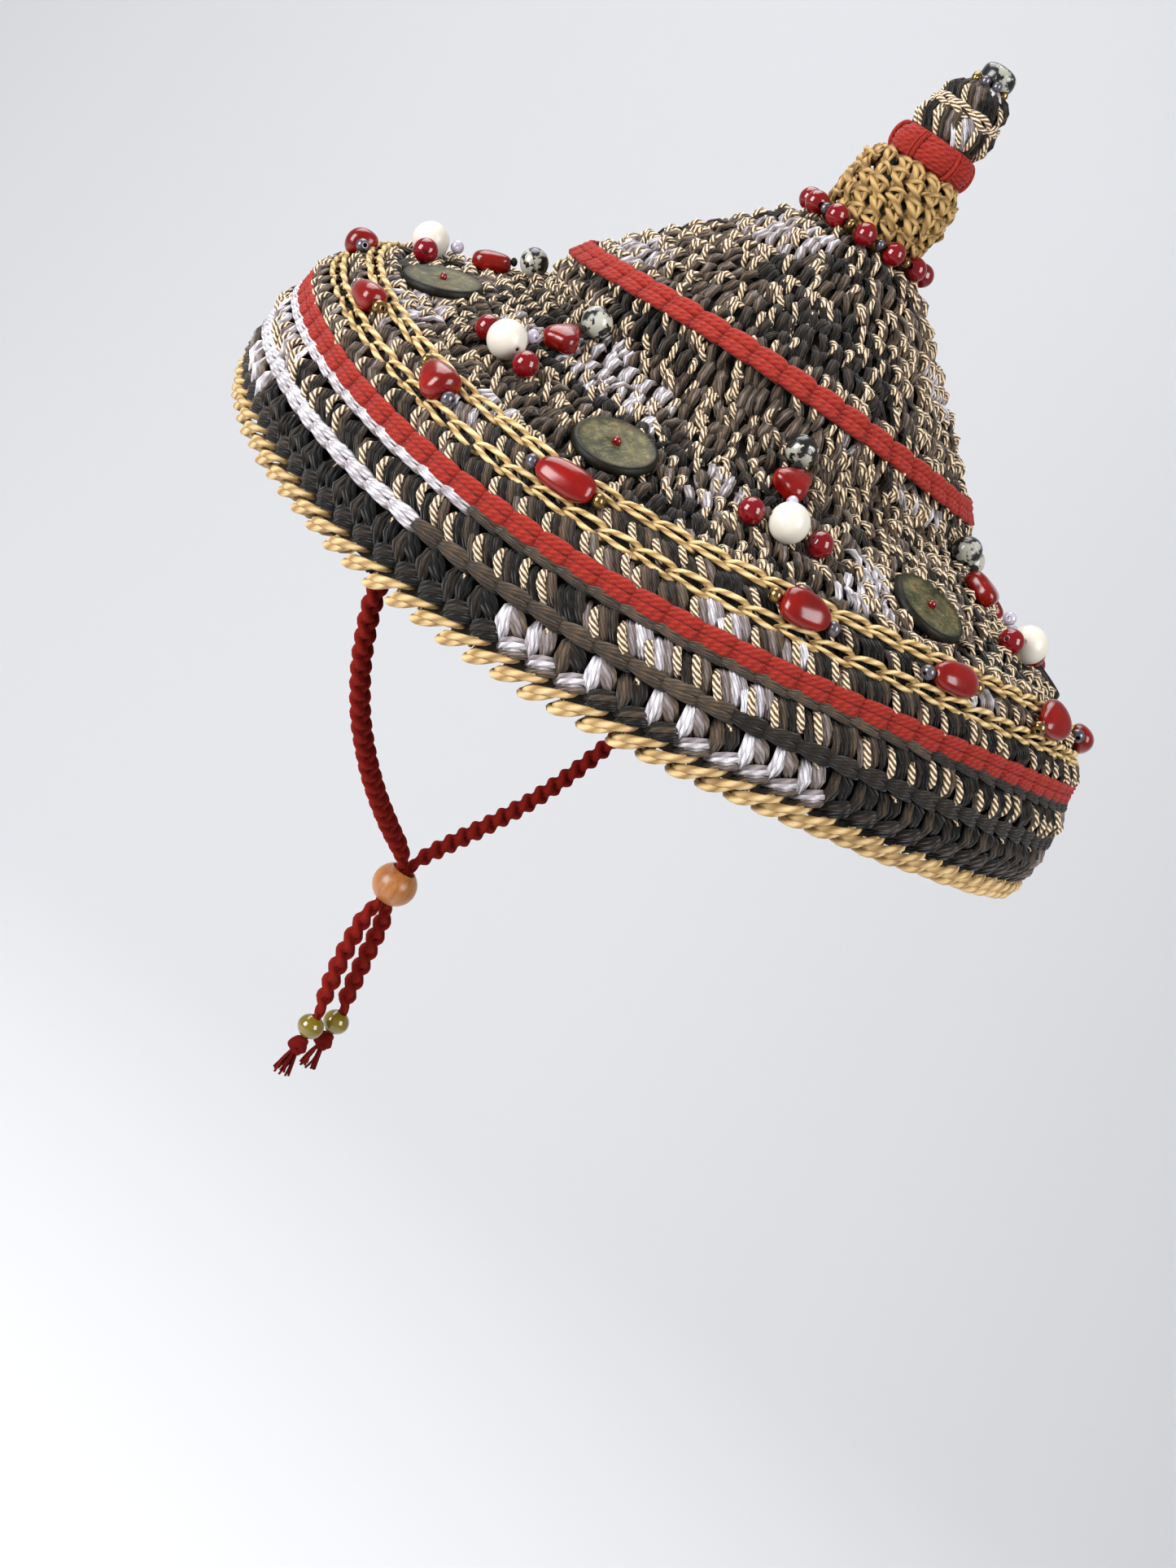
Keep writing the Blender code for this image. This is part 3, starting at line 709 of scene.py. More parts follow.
def disc_finish():
    """Mottled olive and brown disc."""
    made = Finish("olive_disc", 0.5)
    where = made.place()
    cloud = made.noise(where, 95.0, 5.0, 0.6)
    fleck = made.noise(where, 420.0, 4.0, 0.6)
    base = made.ramp(cloud, ((0.3, "#16170e"), (0.45, "#36371f"), (0.56, "#504b30"), (0.7, "#55371b")))
    spots = made.ramp(fleck, ((0.5, "#000000"), (0.75, "#ffffff")))
    _, middle, _ = made.uv()
    rim = made.ramp(made.math("MULTIPLY", middle, 0.075), ((0.76, "#ffffff"), (0.92, "#4a4a44")))
    scratch = made.noise(made.scaled(where, (60.0, 420.0, 200.0)), 1.0, 4.0, 0.7)
    thin = made.veins(scratch, 0.007)
    worn = made.blend(made.math("MULTIPLY", spots, 0.5), base, "#8f8557")
    worn = made.blend(made.math("MULTIPLY", thin, 0.4), worn, "#a09464")
    made.colour(made.blend(1.0, worn, rim, "MULTIPLY"))
    made.bump(made.total((cloud, 1.0), (fleck, 0.3)), 0.3, 0.5)
    made.set(Specular_IOR_Level=0.2)
    return made.material


def wood_finish():
    """Turned wood with the grain running along the bead's bore."""
    made = Finish("turned_wood", 0.38)
    where = made.place()
    grain = made.noise(made.scaled(where, (1.0, 1.0, 0.12)), 900.0, 4.0, 0.6)
    wide = made.noise(made.scaled(where, (1.0, 1.0, 0.2)), 160.0, 2.0)
    tone = made.total((grain, 0.5), (wide, 0.5))
    made.colour(made.ramp(tone, ((0.3, "#7c4820"), (0.5, "#a06430"), (0.7, "#b67c44"))))
    made.bump(grain, 0.2, 0.2)
    made.set(Coat_Weight=0.2, Coat_Roughness=0.2)
    return made.material


YARN = yarn_finish()
ROPE = rope_finish()
RAFFIA = raffia_finish("raffia_straw", "#664a29", "#b3905b", "#d3b47f", "#eed8ab")
PALE_RAFFIA = raffia_finish("pale_raffia", "#76592f", "#c7a368", "#e6cb94", "#f8ebc8")
TAN_RAFFIA = raffia_finish("tan_raffia", "#5a4122", "#9d7b45", "#c09c60", "#d9bb83")
RED_WOOL = red_yarn_finish()
BRAID = cord_finish()
CLOTH = cloth_finish()
SPOTTED_DARK = spotted_finish(0.46)
RED_STONE = stone_finish("red_stone", "#5e0602", "#8a0b04", 0.2)
RED_GLASS = plain_finish(
    "red_glass", "#76040f", 0.08, second="#4a0208", Coat_Weight=0.25, Coat_Roughness=0.03,
)
WHITE_STONE = plain_finish(
    "white_stone", "#d8d3c8", 0.38, second="#bdb3a3", Coat_Weight=0.2, Coat_Roughness=0.2,
)
SPOTTED = spotted_finish()
DISC = disc_finish()
WOOD = wood_finish()
GREEN_GLASS = plain_finish(
    "green_glass", "#776518", 0.1, second="#4a3f0e", Coat_Weight=0.7, Coat_Roughness=0.05,
)
BRASS = plain_finish("brass_seed", "#8d7349", 0.2, second="#4a3a22", Metallic=0.85)
GREY_SEED = plain_finish("grey_seed", "#6d6a72", 0.2, second="#34333a", Metallic=0.6)
CLEAR_SEED = plain_finish("clear_seed", "#b9b2c4", 0.12, second="#8f8799", Coat_Weight=0.6)
HOLE = plain_finish("bead_hole", "#100b0a", 0.9)


# Chin cords

def cord_path(side, spacing):
    """A cord's line from the inside of the brim to its knot, with its radius."""
    bead = GREEN_HEIGHT[side]
    rows = (CORD_TOP[side],) + CORD_ROUTE + (
        (TAIL_X, TAIL_Y, bead + GREEN_HALF + 1.2, CORD_THIN), (TAIL_X, TAIL_Y, bead, CORD_THIN),
        (TAIL_X, TAIL_Y, bead - GREEN_HALF, CORD_THIN),
    )
    path = smooth_path(rows, spacing)
    path[:, 0] *= CORD_SIGN[side]
    path[:, 2] -= SEAT_HEIGHT
    return path


def braided_tube(path):
    """The outline of a plait of three strands, as one closed tube; shade is painted shade, low in the
    grooves.
    """
    sides = 20
    pitch = 18.0
    swing, dip = 0.55, 0.34
    strand_radius = 0.64
    length = running_length(path[:, :3])
    side, out = moving_axes(path[:, :3], (0.0, 1.0, 0.0), False)
    turn = TAU * np.arange(sides) / sides
    ray = np.stack([np.cos(turn), np.sin(turn)], axis=-1)
    reach = np.full((len(path), sides), 0.5)
    facing = np.zeros((len(path), sides))
    for strand in range(3):
        phase = TAU * (length / pitch + strand / 3.0)
        middle = np.stack([swing * np.sin(phase), dip * np.sin(2.0 * phase)], axis=-1)
        ahead = middle @ ray.T
        miss = (middle ** 2).sum(axis=1)[:, None] - ahead ** 2
        inside = np.maximum(strand_radius ** 2 - miss, 0.0) ** 0.5
        hit = np.where(inside > 0.0, ahead + inside, 0.0)
        nearer = hit > reach
        reach = np.where(nearer, hit, reach)
        facing = np.where(nearer, inside / strand_radius, facing)
    radius = path[:, 3][:, None] * reach
    points = path[:, None, :3] + side[:, None] * (radius * np.cos(turn))[..., None]
    points = points + out[:, None] * (radius * np.sin(turn))[..., None]
    # Painted shade: darker where the surface leaves a strand's crest for a groove
    shade = np.clip(facing * 1.5 - 0.45, 0.0, 1.0).reshape(-1)
    return points.reshape(-1, 3), *skin(length, sides), shade


def round_bead(centre, axis, radius, half, bore, sides, rings):
    """A bored bead as one closed ring-like solid; axis is the bore's direction."""
    axis = np.asarray(axis, float) / np.linalg.norm(axis)
    first = np.cross(axis, (0.31, 0.22, 0.92))
    first /= np.linalg.norm(first)
    second = np.cross(axis, first)
    low = -math.sqrt(max(1.0 - (bore / radius) ** 2, 0.0))
    at = np.linspace(low, -low, rings)
    at = np.sin(at / -low * math.pi / 2.0) * -low
    section = [(radius * math.sqrt(max(1.0 - t * t, 0.0)), half * t) for t in at]
    section.append((bore * 0.9, half * -low * 0.92))
    section.append((bore * 0.9, -half * -low * 0.92))
    count = len(section)
    points = np.empty((sides, count, 3))
    for i in range(sides):
        angle = TAU * i / sides
        out = first * math.cos(angle) + second * math.sin(angle)
        for j, (r, h) in enumerate(section):
            points[i, j] = np.asarray(centre) + out * r + axis * h
    faces = []
    uvs = []
    for i in range(sides):
        n = (i + 1) % sides
        for j in range(count):
            m = (j + 1) % count
            faces.append((i * count + j, n * count + j, n * count + m, i * count + m))
            u0, u1 = i / sides, (i + 1) / sides
            uvs.append(((u0, j / count), (u1, j / count), (u1, (j + 1) / count), (u0, (j + 1) / count)))
    return points.reshape(-1, 3), faces, uvs


def knot_shape(made, side):
    """An overhand knot with a tail of loose strands."""
    x = TAIL_X * CORD_SIGN[side]
    top = GREEN_HEIGHT[side] - GREEN_HALF - SEAT_HEIGHT
    centre = np.array([x, TAIL_Y, top - 3.9])
    t = np.linspace(0.0, TAU, 29)[:-1]
    loop = np.stack([2.0 * np.cos(t), 1.9 * np.sin(t), 1.0 * np.sin(2.0 * t)], axis=-1)
    cross = np.stack([1.6 * np.cos(t), 1.2 * np.cos(2.0 * t), 2.0 * np.sin(t)], axis=-1)
    for path in (loop, cross):
        made.add(*tube(centre + path, 1.75, 1.6, 8, closed=True, up=(0.0, 0.4, 1.0)), shade=0.75)
    rng = np.random.default_rng(5 if side == "left" else 9)
    frays = 16
    for k in range(frays):
        angle = TAU * k / frays + rng.uniform(-0.2, 0.2)
        away = np.array([math.cos(angle), math.sin(angle), 0.0])
        foot = np.array([x, TAIL_Y, top])
        start = foot + away - (0.0, 0.0, 6.6)
        spread = rng.uniform(1.6, 3.4)
        end = foot + away * spread - (0.0, 0.0, rng.uniform(14.5, 17.2))
        path = arch(start, end, 0.0, rng.uniform(-0.9, 0.9), 6)
        made.add(*tube(path, 0.48, 0.42, 5, up=(0.0, 1.0, 0.0)), shade=rng.uniform(0.5, 1.0))


def make_cords():
    """The slide bead, and each cord with its green bead and end knot."""
    wooden = Pieces()
    centre = np.array(WOOD_PLACE) - (0.0, 0.0, SEAT_HEIGHT)
    wooden.add(*round_bead(centre, (0.0, 0.0, 1.0), WOOD_RADIUS, WOOD_HALF, WOOD_BORE, 36, 16))
    wood = wooden.build("turned_slide_bead", [WOOD], "wood", "wooden_bead")
    for side in ("left", "right"):
        path = cord_path(side, 0.8)
        # shade here is the painted shade of the plait's grooves
        points, faces, uvs, shade = braided_tube(path)
        strand = Pieces()
        strand.add(points, faces, uvs, shade=shade)
        rope = strand.build("braid_" + side, [BRAID], "braided_cord", "chin_cord_" + side)
        bead = Pieces()
        centre = (CORD_SIGN[side] * TAIL_X, TAIL_Y, GREEN_HEIGHT[side] - SEAT_HEIGHT)
        bead.add(*round_bead(centre, (0.0, 0.0, 1.0), GREEN_RADIUS, GREEN_LENGTH / 2.0, GREEN_BORE, 28, 14))
        green = bead.build("glossy_green_bead_" + side, [GREEN_GLASS], "green_glass", "green_bead_" + side)
        ends = Pieces()
        knot_shape(ends, side)
        knot = ends.build("frayed_knot_" + side, [BRAID], "braided_cord", "cord_knot_" + side)


# Stitches laid on the surface by a node tree

LAYING_INPUTS = (
    ("Geometry", "NodeSocketGeometry"), ("Yarn strands", "NodeSocketCollection"),
    ("Rope strands", "NodeSocketCollection"), ("Yarn", "NodeSocketMaterial"),
    ("Rope", "NodeSocketMaterial"), ("Strand size", "NodeSocketFloat"),
    ("Looseness", "NodeSocketFloat"), ("Seed", "NodeSocketInt"),
)


def laying_tree():
    """Sets one of a family of strands on each guide point, turned to the surface."""
    tree = bpy.data.node_groups.new("strands_on_guides", "GeometryNodeTree")
    tree.is_modifier = True
    tree.interface.new_socket(name="Geometry", in_out="OUTPUT", socket_type="NodeSocketGeometry")
    for name, kind in LAYING_INPUTS:
        tree.interface.new_socket(name=name, in_out="INPUT", socket_type=kind)
    new = tree.nodes.new
    link = tree.links.new
    entry = new("NodeGroupInput")
    leave = new("NodeGroupOutput")

    def named(attribute, kind):
        found = new("GeometryNodeInputNamedAttribute")
        found.data_type = kind
        found.inputs["Name"].default_value = attribute
        return found.outputs["Attribute"]

    def scaled(vector, by):
        made = new("ShaderNodeVectorMath")
        made.operation = "SCALE"
        link(vector, made.inputs[0])
        link(entry.outputs[by], made.inputs["Scale"])
        return made.outputs["Vector"]

    turn = new("FunctionNodeAxesToRotation")
    turn.primary_axis = "Z"
    turn.secondary_axis = "X"
    link(named("outward", "FLOAT_VECTOR"), turn.inputs["Primary Axis"])
    link(named("along", "FLOAT_VECTOR"), turn.inputs["Secondary Axis"])
    jitter = new("FunctionNodeRandomValue")
    jitter.data_type = "FLOAT_VECTOR"
    jitter.inputs["Min"].default_value = (-1.0, -1.0, -1.0)
    jitter.inputs["Max"].default_value = (1.0, 1.0, 1.0)
    link(entry.outputs["Seed"], jitter.inputs["Seed"])
    small = new("FunctionNodeEulerToRotation")
    link(scaled(jitter.outputs["Value"], "Looseness"), small.inputs["Euler"])
    both = new("FunctionNodeRotateRotation")
    both.rotation_space = "LOCAL"
    link(turn.outputs["Rotation"], both.inputs["Rotation"])
    link(small.outputs["Rotation"], both.inputs["Rotate By"])
    size = scaled(named("size", "FLOAT_VECTOR"), "Strand size")
    pick = named("pick", "INT")
    join = new("GeometryNodeJoinGeometry")
    for strand_family, finish in (("Yarn strands", "Yarn"), ("Rope strands", "Rope")):
        source = new("GeometryNodeCollectionInfo")
        source.inputs["Separate Children"].default_value = True
        source.inputs["Reset Children"].default_value = True
        link(entry.outputs[strand_family], source.inputs["Collection"])
        put = new("GeometryNodeInstanceOnPoints")
        put.inputs["Pick Instance"].default_value = True
        link(entry.outputs["Geometry"], put.inputs["Points"])
        link(source.outputs["Instances"], put.inputs["Instance"])
        link(pick, put.inputs["Instance Index"])
        link(both.outputs["Rotation"], put.inputs["Rotation"])
        link(size, put.inputs["Scale"])
        real = new("GeometryNodeRealizeInstances")
        link(put.outputs["Instances"], real.inputs["Geometry"])
        paint = new("GeometryNodeSetMaterial")
        link(real.outputs["Geometry"], paint.inputs["Geometry"])
        link(entry.outputs[finish], paint.inputs["Material"])
        link(paint.outputs["Geometry"], join.inputs["Geometry"])
    link(join.outputs["Geometry"], leave.inputs["Geometry"])
    return tree


LAYING = laying_tree()


def family(name, shapes, deep=0.0):
    """Strand meshes in order, with painted shade toward their feet; None leaves a place empty."""
    found = bpy.data.collections.new(name)
    for index, shape in enumerate(shapes):
        title = f"{name}_{index:02d}"
        mesh = shape.mesh(title) if shape else bpy.data.meshes.new(title)
        if shape:
            mesh.attributes.remove(mesh.attributes["shade"])
            height = np.array([v.co.z for v in mesh.vertices]) / MM
            # Each ply's own tone, less painted shade that deepens toward the strand's feet by the weight
            # deep
            tone = np.concatenate(shape.shades) - 0.5 - deep * np.clip((1.6 - height) / 3.0, 0.0, 1.0)
            store(mesh, "tint_and_painted_shade", "FLOAT", tone)
        found.objects.link(bpy.data.objects.new(title, mesh))
    return found


class Guides:
    """Points on the hat that strands are laid on."""

    def __init__(self):
        self.rows = []

    def add(self, spot, pick, shade, size):
        point, outward, along, _ = spot
        count = len(point)
        size = np.broadcast_to(np.asarray(size, float), (count, 3))
        self.rows.append((
            point, outward, along, size, np.broadcast_to(pick, (count,)),
            np.broadcast_to(shade, (count,)),
        ))

    def mesh(self, name):
        point, outward, along, size, pick, shade = (np.concatenate(part) for part in zip(*self.rows))
        made = bpy.data.meshes.new(name)
        made.from_pydata((point * MM).tolist(), [], [])
        for title, value in (("outward", outward), ("along", along), ("size", size)):
            store(made, title, "FLOAT_VECTOR", value)
        store(made, "pick", "INT", pick)
        store(made, "shade", "FLOAT", shade)
        return made


def lay(name, guides, yarn_family, rope_family, finishes, body_slot, nodes, seed=1, loose=0.0):
    """Lays a family of strands on guides and bakes the result into a plain piece."""
    guide = set_out(name + "_guide", guides.mesh(name + "_guide"))
    modifier = guide.modifiers.new("laying", "NODES")
    modifier.node_group = LAYING
    values = {
        "Yarn strands": yarn_family, "Rope strands": rope_family, "Yarn": finishes[0],
        "Rope": finishes[-1], "Strand size": 1.0, "Looseness": loose, "Seed": seed,
    }
    for item in LAYING.interface.items_tree:
        if item.in_out == "INPUT" and item.name in values:
            modifier[item.identifier] = values[item.name]
    graph = bpy.context.evaluated_depsgraph_get()
    mesh = bpy.data.meshes.new_from_object(guide.evaluated_get(graph), depsgraph=graph)
    mesh.name = name
    bpy.data.objects.remove(guide, do_unlink=True)
    mesh.shade_smooth()
    mount(set_out(name, mesh), body_slot, *nodes)


def clear_families(*families):
    """Takes strand shapes away once their pieces are baked."""
    for found in families:
        for item in list(found.objects):
            bpy.data.objects.remove(item, do_unlink=True)
        bpy.data.collections.remove(found)


# Strand shapes, in mm: x along the round, y uphill, z outward

# Width of a gold twist on the slopes, and how far each kind of stitch leans in degrees
TWIST_WIDTH = 1.95
PUFF_LEAN = 22.0
FORK_LEAN = 26.0
HEM_LEAN = 27.0


def strands(
    shape, rows, wide, plies, spread=0.72, sides=5, spacing=20.0, ends=0.45, tones=(0.0,), lead=1.0,
):
    """A bundle of plies lying side by side along a line, gathered at both ends."""
    path = smooth_path(rows, spacing)
    ahead = np.gradient(path, axis=0)
    side = np.stack([-ahead[:, 1], ahead[:, 0], np.zeros(len(path))], axis=-1)
    side /= np.maximum(np.linalg.norm(side, axis=1, keepdims=True), 1e-6)
    t = np.linspace(0.0, 1.0, len(path))
    taper = np.sin(math.pi * (0.13 + 0.74 * t)) ** ends
    taper = taper * (lead + (1.0 - lead) * np.clip(t / 0.4, 0.0, 1.0))
    fan = 0.55 + 0.45 * np.sin(math.pi * t) ** 0.6
    for k in range(plies):
        off = (k - (plies - 1) / 2.0) * wide * spread
        ply = path + side * (off * fan)[:, None]
        ply[:, 2] -= 0.42 * abs(off)
        tone = 0.5 + tones[k % len(tones)]
        shape.add(*tube(ply, wide * 0.56 * taper, wide * 0.5 * taper, sides), shade=tone)


def leaned(rows, degrees):
    """Rows turned in the surface, anticlockwise seen from outside."""
    rows = np.array(rows, float)
    turn = math.radians(degrees)
    x = rows[:, 0] * math.cos(turn) - rows[:, 1] * math.sin(turn)
    y = rows[:, 0] * math.sin(turn) + rows[:, 1] * math.cos(turn)
    return np.stack([x, y, rows[:, 2]], axis=-1)


def crochet_family():
    """Worked stitches of the crown and slope: leaning and curled bundles with gold twists."""
    yarn = []
    gold = []
    # Bundles (middle, lean, bow, width, rise), then twists (middle, lean, bow, half length)
    layouts = (
        (((-1.6, -0.6, 0.9, 1.45, 3.0), (2.2, -1.2, 0.7, 1.3, 2.5)), ((0.4, -0.5, -1.3, 2.8),)),
        (((-2.4, -1.1, 0.6, 1.4, 2.6), (1.4, -0.3, -0.6, 1.35, 3.1)), ((3.2, -0.6, 1.4, 3.0),)),
        (((-0.6, 0.2, -0.5, 1.5, 3.1), (2.8, -0.5, 0.7, 1.25, 2.6)), ((-3.0, -0.2, 1.4, 2.9),)),
        (
            ((-2.7, -0.7, -0.5, 1.3, 2.5), (0.5, -1.5, 0.8, 1.4, 3.0)),
            ((-1.2, -0.6, -1.4, 2.7), (3.2, 0.1, 1.2, 2.9)),
        ),
        (((-2.1, 0.1, 0.6, 1.45, 2.9), (1.9, -0.6, -0.7, 1.5, 2.7)), ()),
        (((-0.1, -0.9, 0.9, 1.5, 2.8), (3.2, 0.9, -0.5, 1.2, 2.5)), ((-2.5, -1.3, 1.2, 3.0),)),
    )
    half = 4.3
    for bundles, twists in layouts:
        shape = Pieces()
        for x, lean, bow, wide, rise in bundles:
            path = arch((x - 1.2 * lean, -half, -1.5), (x + 1.2 * lean, half, -1.4), rise, bow, 4)
            strands(shape, path, wide, 3, 0.66, 4, ends=0.3, tones=(-0.12, 0.09, -0.02))
        yarn.append(shape)
        shape = Pieces()
        for x, lean, bow, reach in twists:
            path = arch((x - 1.2 * lean, -reach, -1.3), (x + 1.2 * lean, reach, -1.2), 3.2, bow, 5)
            strands(shape, path, TWIST_WIDTH, 1, sides=5, ends=0.35)
        gold.append(shape if twists else None)
    # The number after the shapes sets the painted shade toward the strands' feet
    return family("leaning_yarn", yarn, 0.13), family("leaning_gold", gold)


def puff_family():
    """Arched stitches of the wall: bundles and gold twists side by side, leaning in the round."""
    yarn = []
    gold = []
    # Bundles (middle, width, tone), then twists (middle, height, half length)
    layouts = (
        (((-0.5, 1.55, -0.2), (2.2, 1.6, 0.04), (4.5, 1.1, -0.1)), ((-2.9, 0.0, 4.9),)),
        (((-2.5, 1.6, -0.16), (2.7, 1.55, 0.16)), ((0.2, 0.4, 5.2),)),
        (((0.3, 1.6, 0.0), (-3.9, 1.2, 0.16), (3.2, 1.3, -0.16)), ((-1.9, -0.4, 4.8),)),
        (((2.4, 1.5, 0.02), (-0.5, 1.6, -0.2), (-3.2, 1.4, -0.04)), ()),
        (((-1.7, 1.7, 0.02), (1.2, 1.5, -0.2)), ((-4.1, 0.4, 4.8), (3.6, -0.4, 4.6))),
    )
    for bundles, twists in layouts:
        shape = Pieces()
        for x, wide, tone in bundles:
            rows = (
                (x + 1.2, -6.2, -2.2), (x + 0.8, -3.6, 0.9), (x, 0.2, 2.7), (x - 0.5, 3.8, 1.8),
                (x, 6.2, -1.6),
            )
            tones = (tone - 0.06, tone + 0.05, tone - 0.02)
            strands(shape, leaned(rows, PUFF_LEAN), wide * 0.86, 3, 0.68, 4, 3.1, tones=tones)
        yarn.append(shape)
        shape = Pieces()
        for x, y, half in twists:
            rows = (
                (x + 1.1, y - half, -1.4), (x + 0.5, y - half * 0.5, 1.5), (x - 0.4, y + 0.2, 2.9),
                (x - 0.3, y + half * 0.6, 2.0), (x + 0.6, y + half, -1.3),
            )
            strands(shape, leaned(rows, PUFF_LEAN), 2.25, 1, sides=6, spacing=2.2, ends=0.3)
        gold.append(shape if twists else None)
    # The number after the shapes sets the painted shade toward the strands' feet
    return family("arched_yarn", yarn, 0.16), family("arched_gold", gold)


def fork_family():
    """Forked stitches low on the wall, and the flat bundles of the hem."""
    fork = Pieces()
    rows = ((0.2, 4.6, -1.6), (-0.1, 0.0, 0.3), (-0.3, -5.0, -1.4))
    strands(fork, leaned(rows, FORK_LEAN), 1.9, 3, 0.7, 4, tones=(-0.26,))
    for foot, tone in ((-3.4, 0.04), (3.1, -0.24)):
        rows = ((0.2, 5.0, -0.8), (foot * 0.15, 3.6, 1.7), (foot * 0.6, 0.2, 2.5), (foot, -4.9, -1.2))
        tones = (tone, tone + 0.06, tone - 0.05)
        strands(fork, leaned(rows, FORK_LEAN), 2.0, 3, 0.66, 4, 3.2, 0.7, tones=tones)
    plain = Pieces()
    for x, tone in ((-1.9, 0.0), (2.2, -0.22)):
        rows = ((x + 0.6, 5.0, -0.8), (x, 2.2, 1.6), (x, -1.2, 1.9), (x - 0.6, -5.0, -0.6))
        strands(plain, leaned(rows, PUFF_LEAN), 1.8, 3, 0.7, 4, 3.2, tones=(tone, tone + 0.07))
    hem = Pieces()
    for y, wide, tone in ((-1.6, 1.4, -0.3), (0.9, 2.1, 0.0)):
        rows = (
            (-5.4, y - 1.3, -1.6), (-2.6, y + 0.2, 1.2), (0.6, y + 0.7, 2.2), (3.6, y + 0.1, 1.2),
            (5.6, y - 0.9, -1.5),
        )
        tones = (tone, tone + 0.08, tone - 0.06)
        strands(hem, leaned(rows, HEM_LEAN), wide, 3, 0.66, 4, 3.2, 0.8, tones=tones)
    gold = Pieces()
    rows = ((-0.4, 4.2, -0.6), (0.8, 2.6, 1.3), (1.7, 0.6, -0.4))
    strands(gold, rows, 1.9, 1, sides=6, spacing=1.4)
    # The number after the shapes sets the painted shade toward the strands' feet
    return family("forked_yarn", (fork, plain, hem), 0.12), family("forked_gold", (None, gold, None))


def link_family(name, wide, reach, plies, sides=5, half=6.8, spacing=2.6, tip=0.0, quick=0.0):
    """One link of a chain: two strands that open round the start of the next link."""
    shape = Pieces()
    for side in (-1.0, 1.0):
        rows = (
            (-half, 0.2 * side, -1.2 - tip),
            (-half + 1.5, (0.38 + quick) * reach * side, 0.5 - tip),
            (-half + 4.0, (0.7 + 0.8 * quick) * reach * side, 1.15 - 0.3 * tip),
            (0.6, reach * side, 1.0 + 0.3 * tip),
            (half - 3.0, 1.06 * reach * side, 0.55 + tip),
            (half - 1.2, 0.85 * reach * side, -0.3 + 0.8 * tip),
            (half - 0.4, 0.45 * reach * side, -1.3),
        )
        tones = (0.0, 0.05) if side > 0.0 else (-0.05, 0.0)
        strands(shape, rows, wide, plies, 0.72, sides, spacing, 0.2, tones, 0.62)
    # The number after the shape sets the painted shade toward the link's feet
    return family(name, (shape,), 0.28), family(name + "_none", (None,))


def degrees_off(angles, degrees):
    """How many degrees each angle lies from a place on the round."""
    return np.abs((np.degrees(angles) - degrees + 180.0) % 360.0 - 180.0)


def stitch_shade(angles, seed, patches, level=0.0, runs=(5, 11)):
    """Yarn shade round a row: runs of a few stitches, with pale runs where they are listed."""
    count = len(angles)
    shade = np.empty(count)
    rng = np.random.default_rng(100 + seed)
    at = 0
    while at < count:
        run = int(rng.integers(*runs))
        shade[at:at + run] = rng.choice((0.19, 0.28, 0.40, 0.50), p=(0.24, 0.24, 0.28, 0.24))
        at += run
    for degrees, height, spread, tall, value in patches:
        gap = degrees_off(angles, degrees) + rng.uniform(-2.0, 2.0, count)
        if abs(level - height) < tall:
            shade[gap < spread] = value
    return shade + rng.uniform(-0.05, 0.05, count)


# Colours round the hat, and the rows they belong to

# Pale and brown yarn runs: angle, height of the row, half spread in degrees, half height, shade
YARN_RUNS = (
    (160.0, 112.0, 30.0, 14.0, 0.46), (225.0, 110.0, 26.0, 9.0, 0.22), (236.0, 124.0, 22.0, 4.5, 0.42),
    (205.0, 76.0, 14.0, 5.0, 0.46), (178.0, 62.0, 12.0, 6.0, 0.42), (170.0, 89.0, 16.0, 3.0, 0.2),
    (189.0, 73.5, 11.5, 5.2, 0.84), (180.0, 78.0, 6.0, 3.6, 0.86), (156.0, 59.0, 9.0, 3.6, 0.8),
    (166.0, 69.0, 6.0, 3.0, 0.74), (172.0, 133.0, 24.0, 5.0, 0.76), (196.0, 136.5, 9.0, 3.5, 0.86),
    (150.0, 103.0, 16.0, 8.0, 0.74), (283.0, 118.0, 10.0, 8.0, 0.8), (262.0, 88.0, 12.0, 3.2, 0.84),
    (235.0, 91.0, 4.0, 3.0, 0.7), (241.0, 62.0, 5.0, 4.5, 0.84), (216.0, 66.0, 3.0, 3.0, 0.78),
    (183.0, 52.0, 5.0, 4.0, 0.84), (20.0, 66.0, 7.0, 5.0, 0.84), (75.0, 72.0, 7.0, 5.0, 0.84),
    (118.0, 62.0, 6.0, 4.0, 0.84), (40.0, 110.0, 12.0, 5.0, 0.84), (320.0, 118.0, 10.0, 5.0, 0.82),
)
# The stretch with most gold twists: its middle and half spread in degrees
GOLD_SIDE = (280.0, 42.0)
# The kind of stitch that has no gold twist, and the one that takes its place on that stretch
PLAIN_KIND = 4
GOLDEN_KIND = 3
# Width and height of a stitch as it is drawn, and how deep it sits in the cloth
STITCH_WIDE = 6.9
STITCH_TALL = 6.5
STITCH_SINK = -0.5


def wall_runs(*runs):
    """Colour runs of one row, from angle, half spread in degrees and shade."""
    return tuple((degrees, 0.0, spread, 1.0, shade) for degrees, spread, shade in runs)


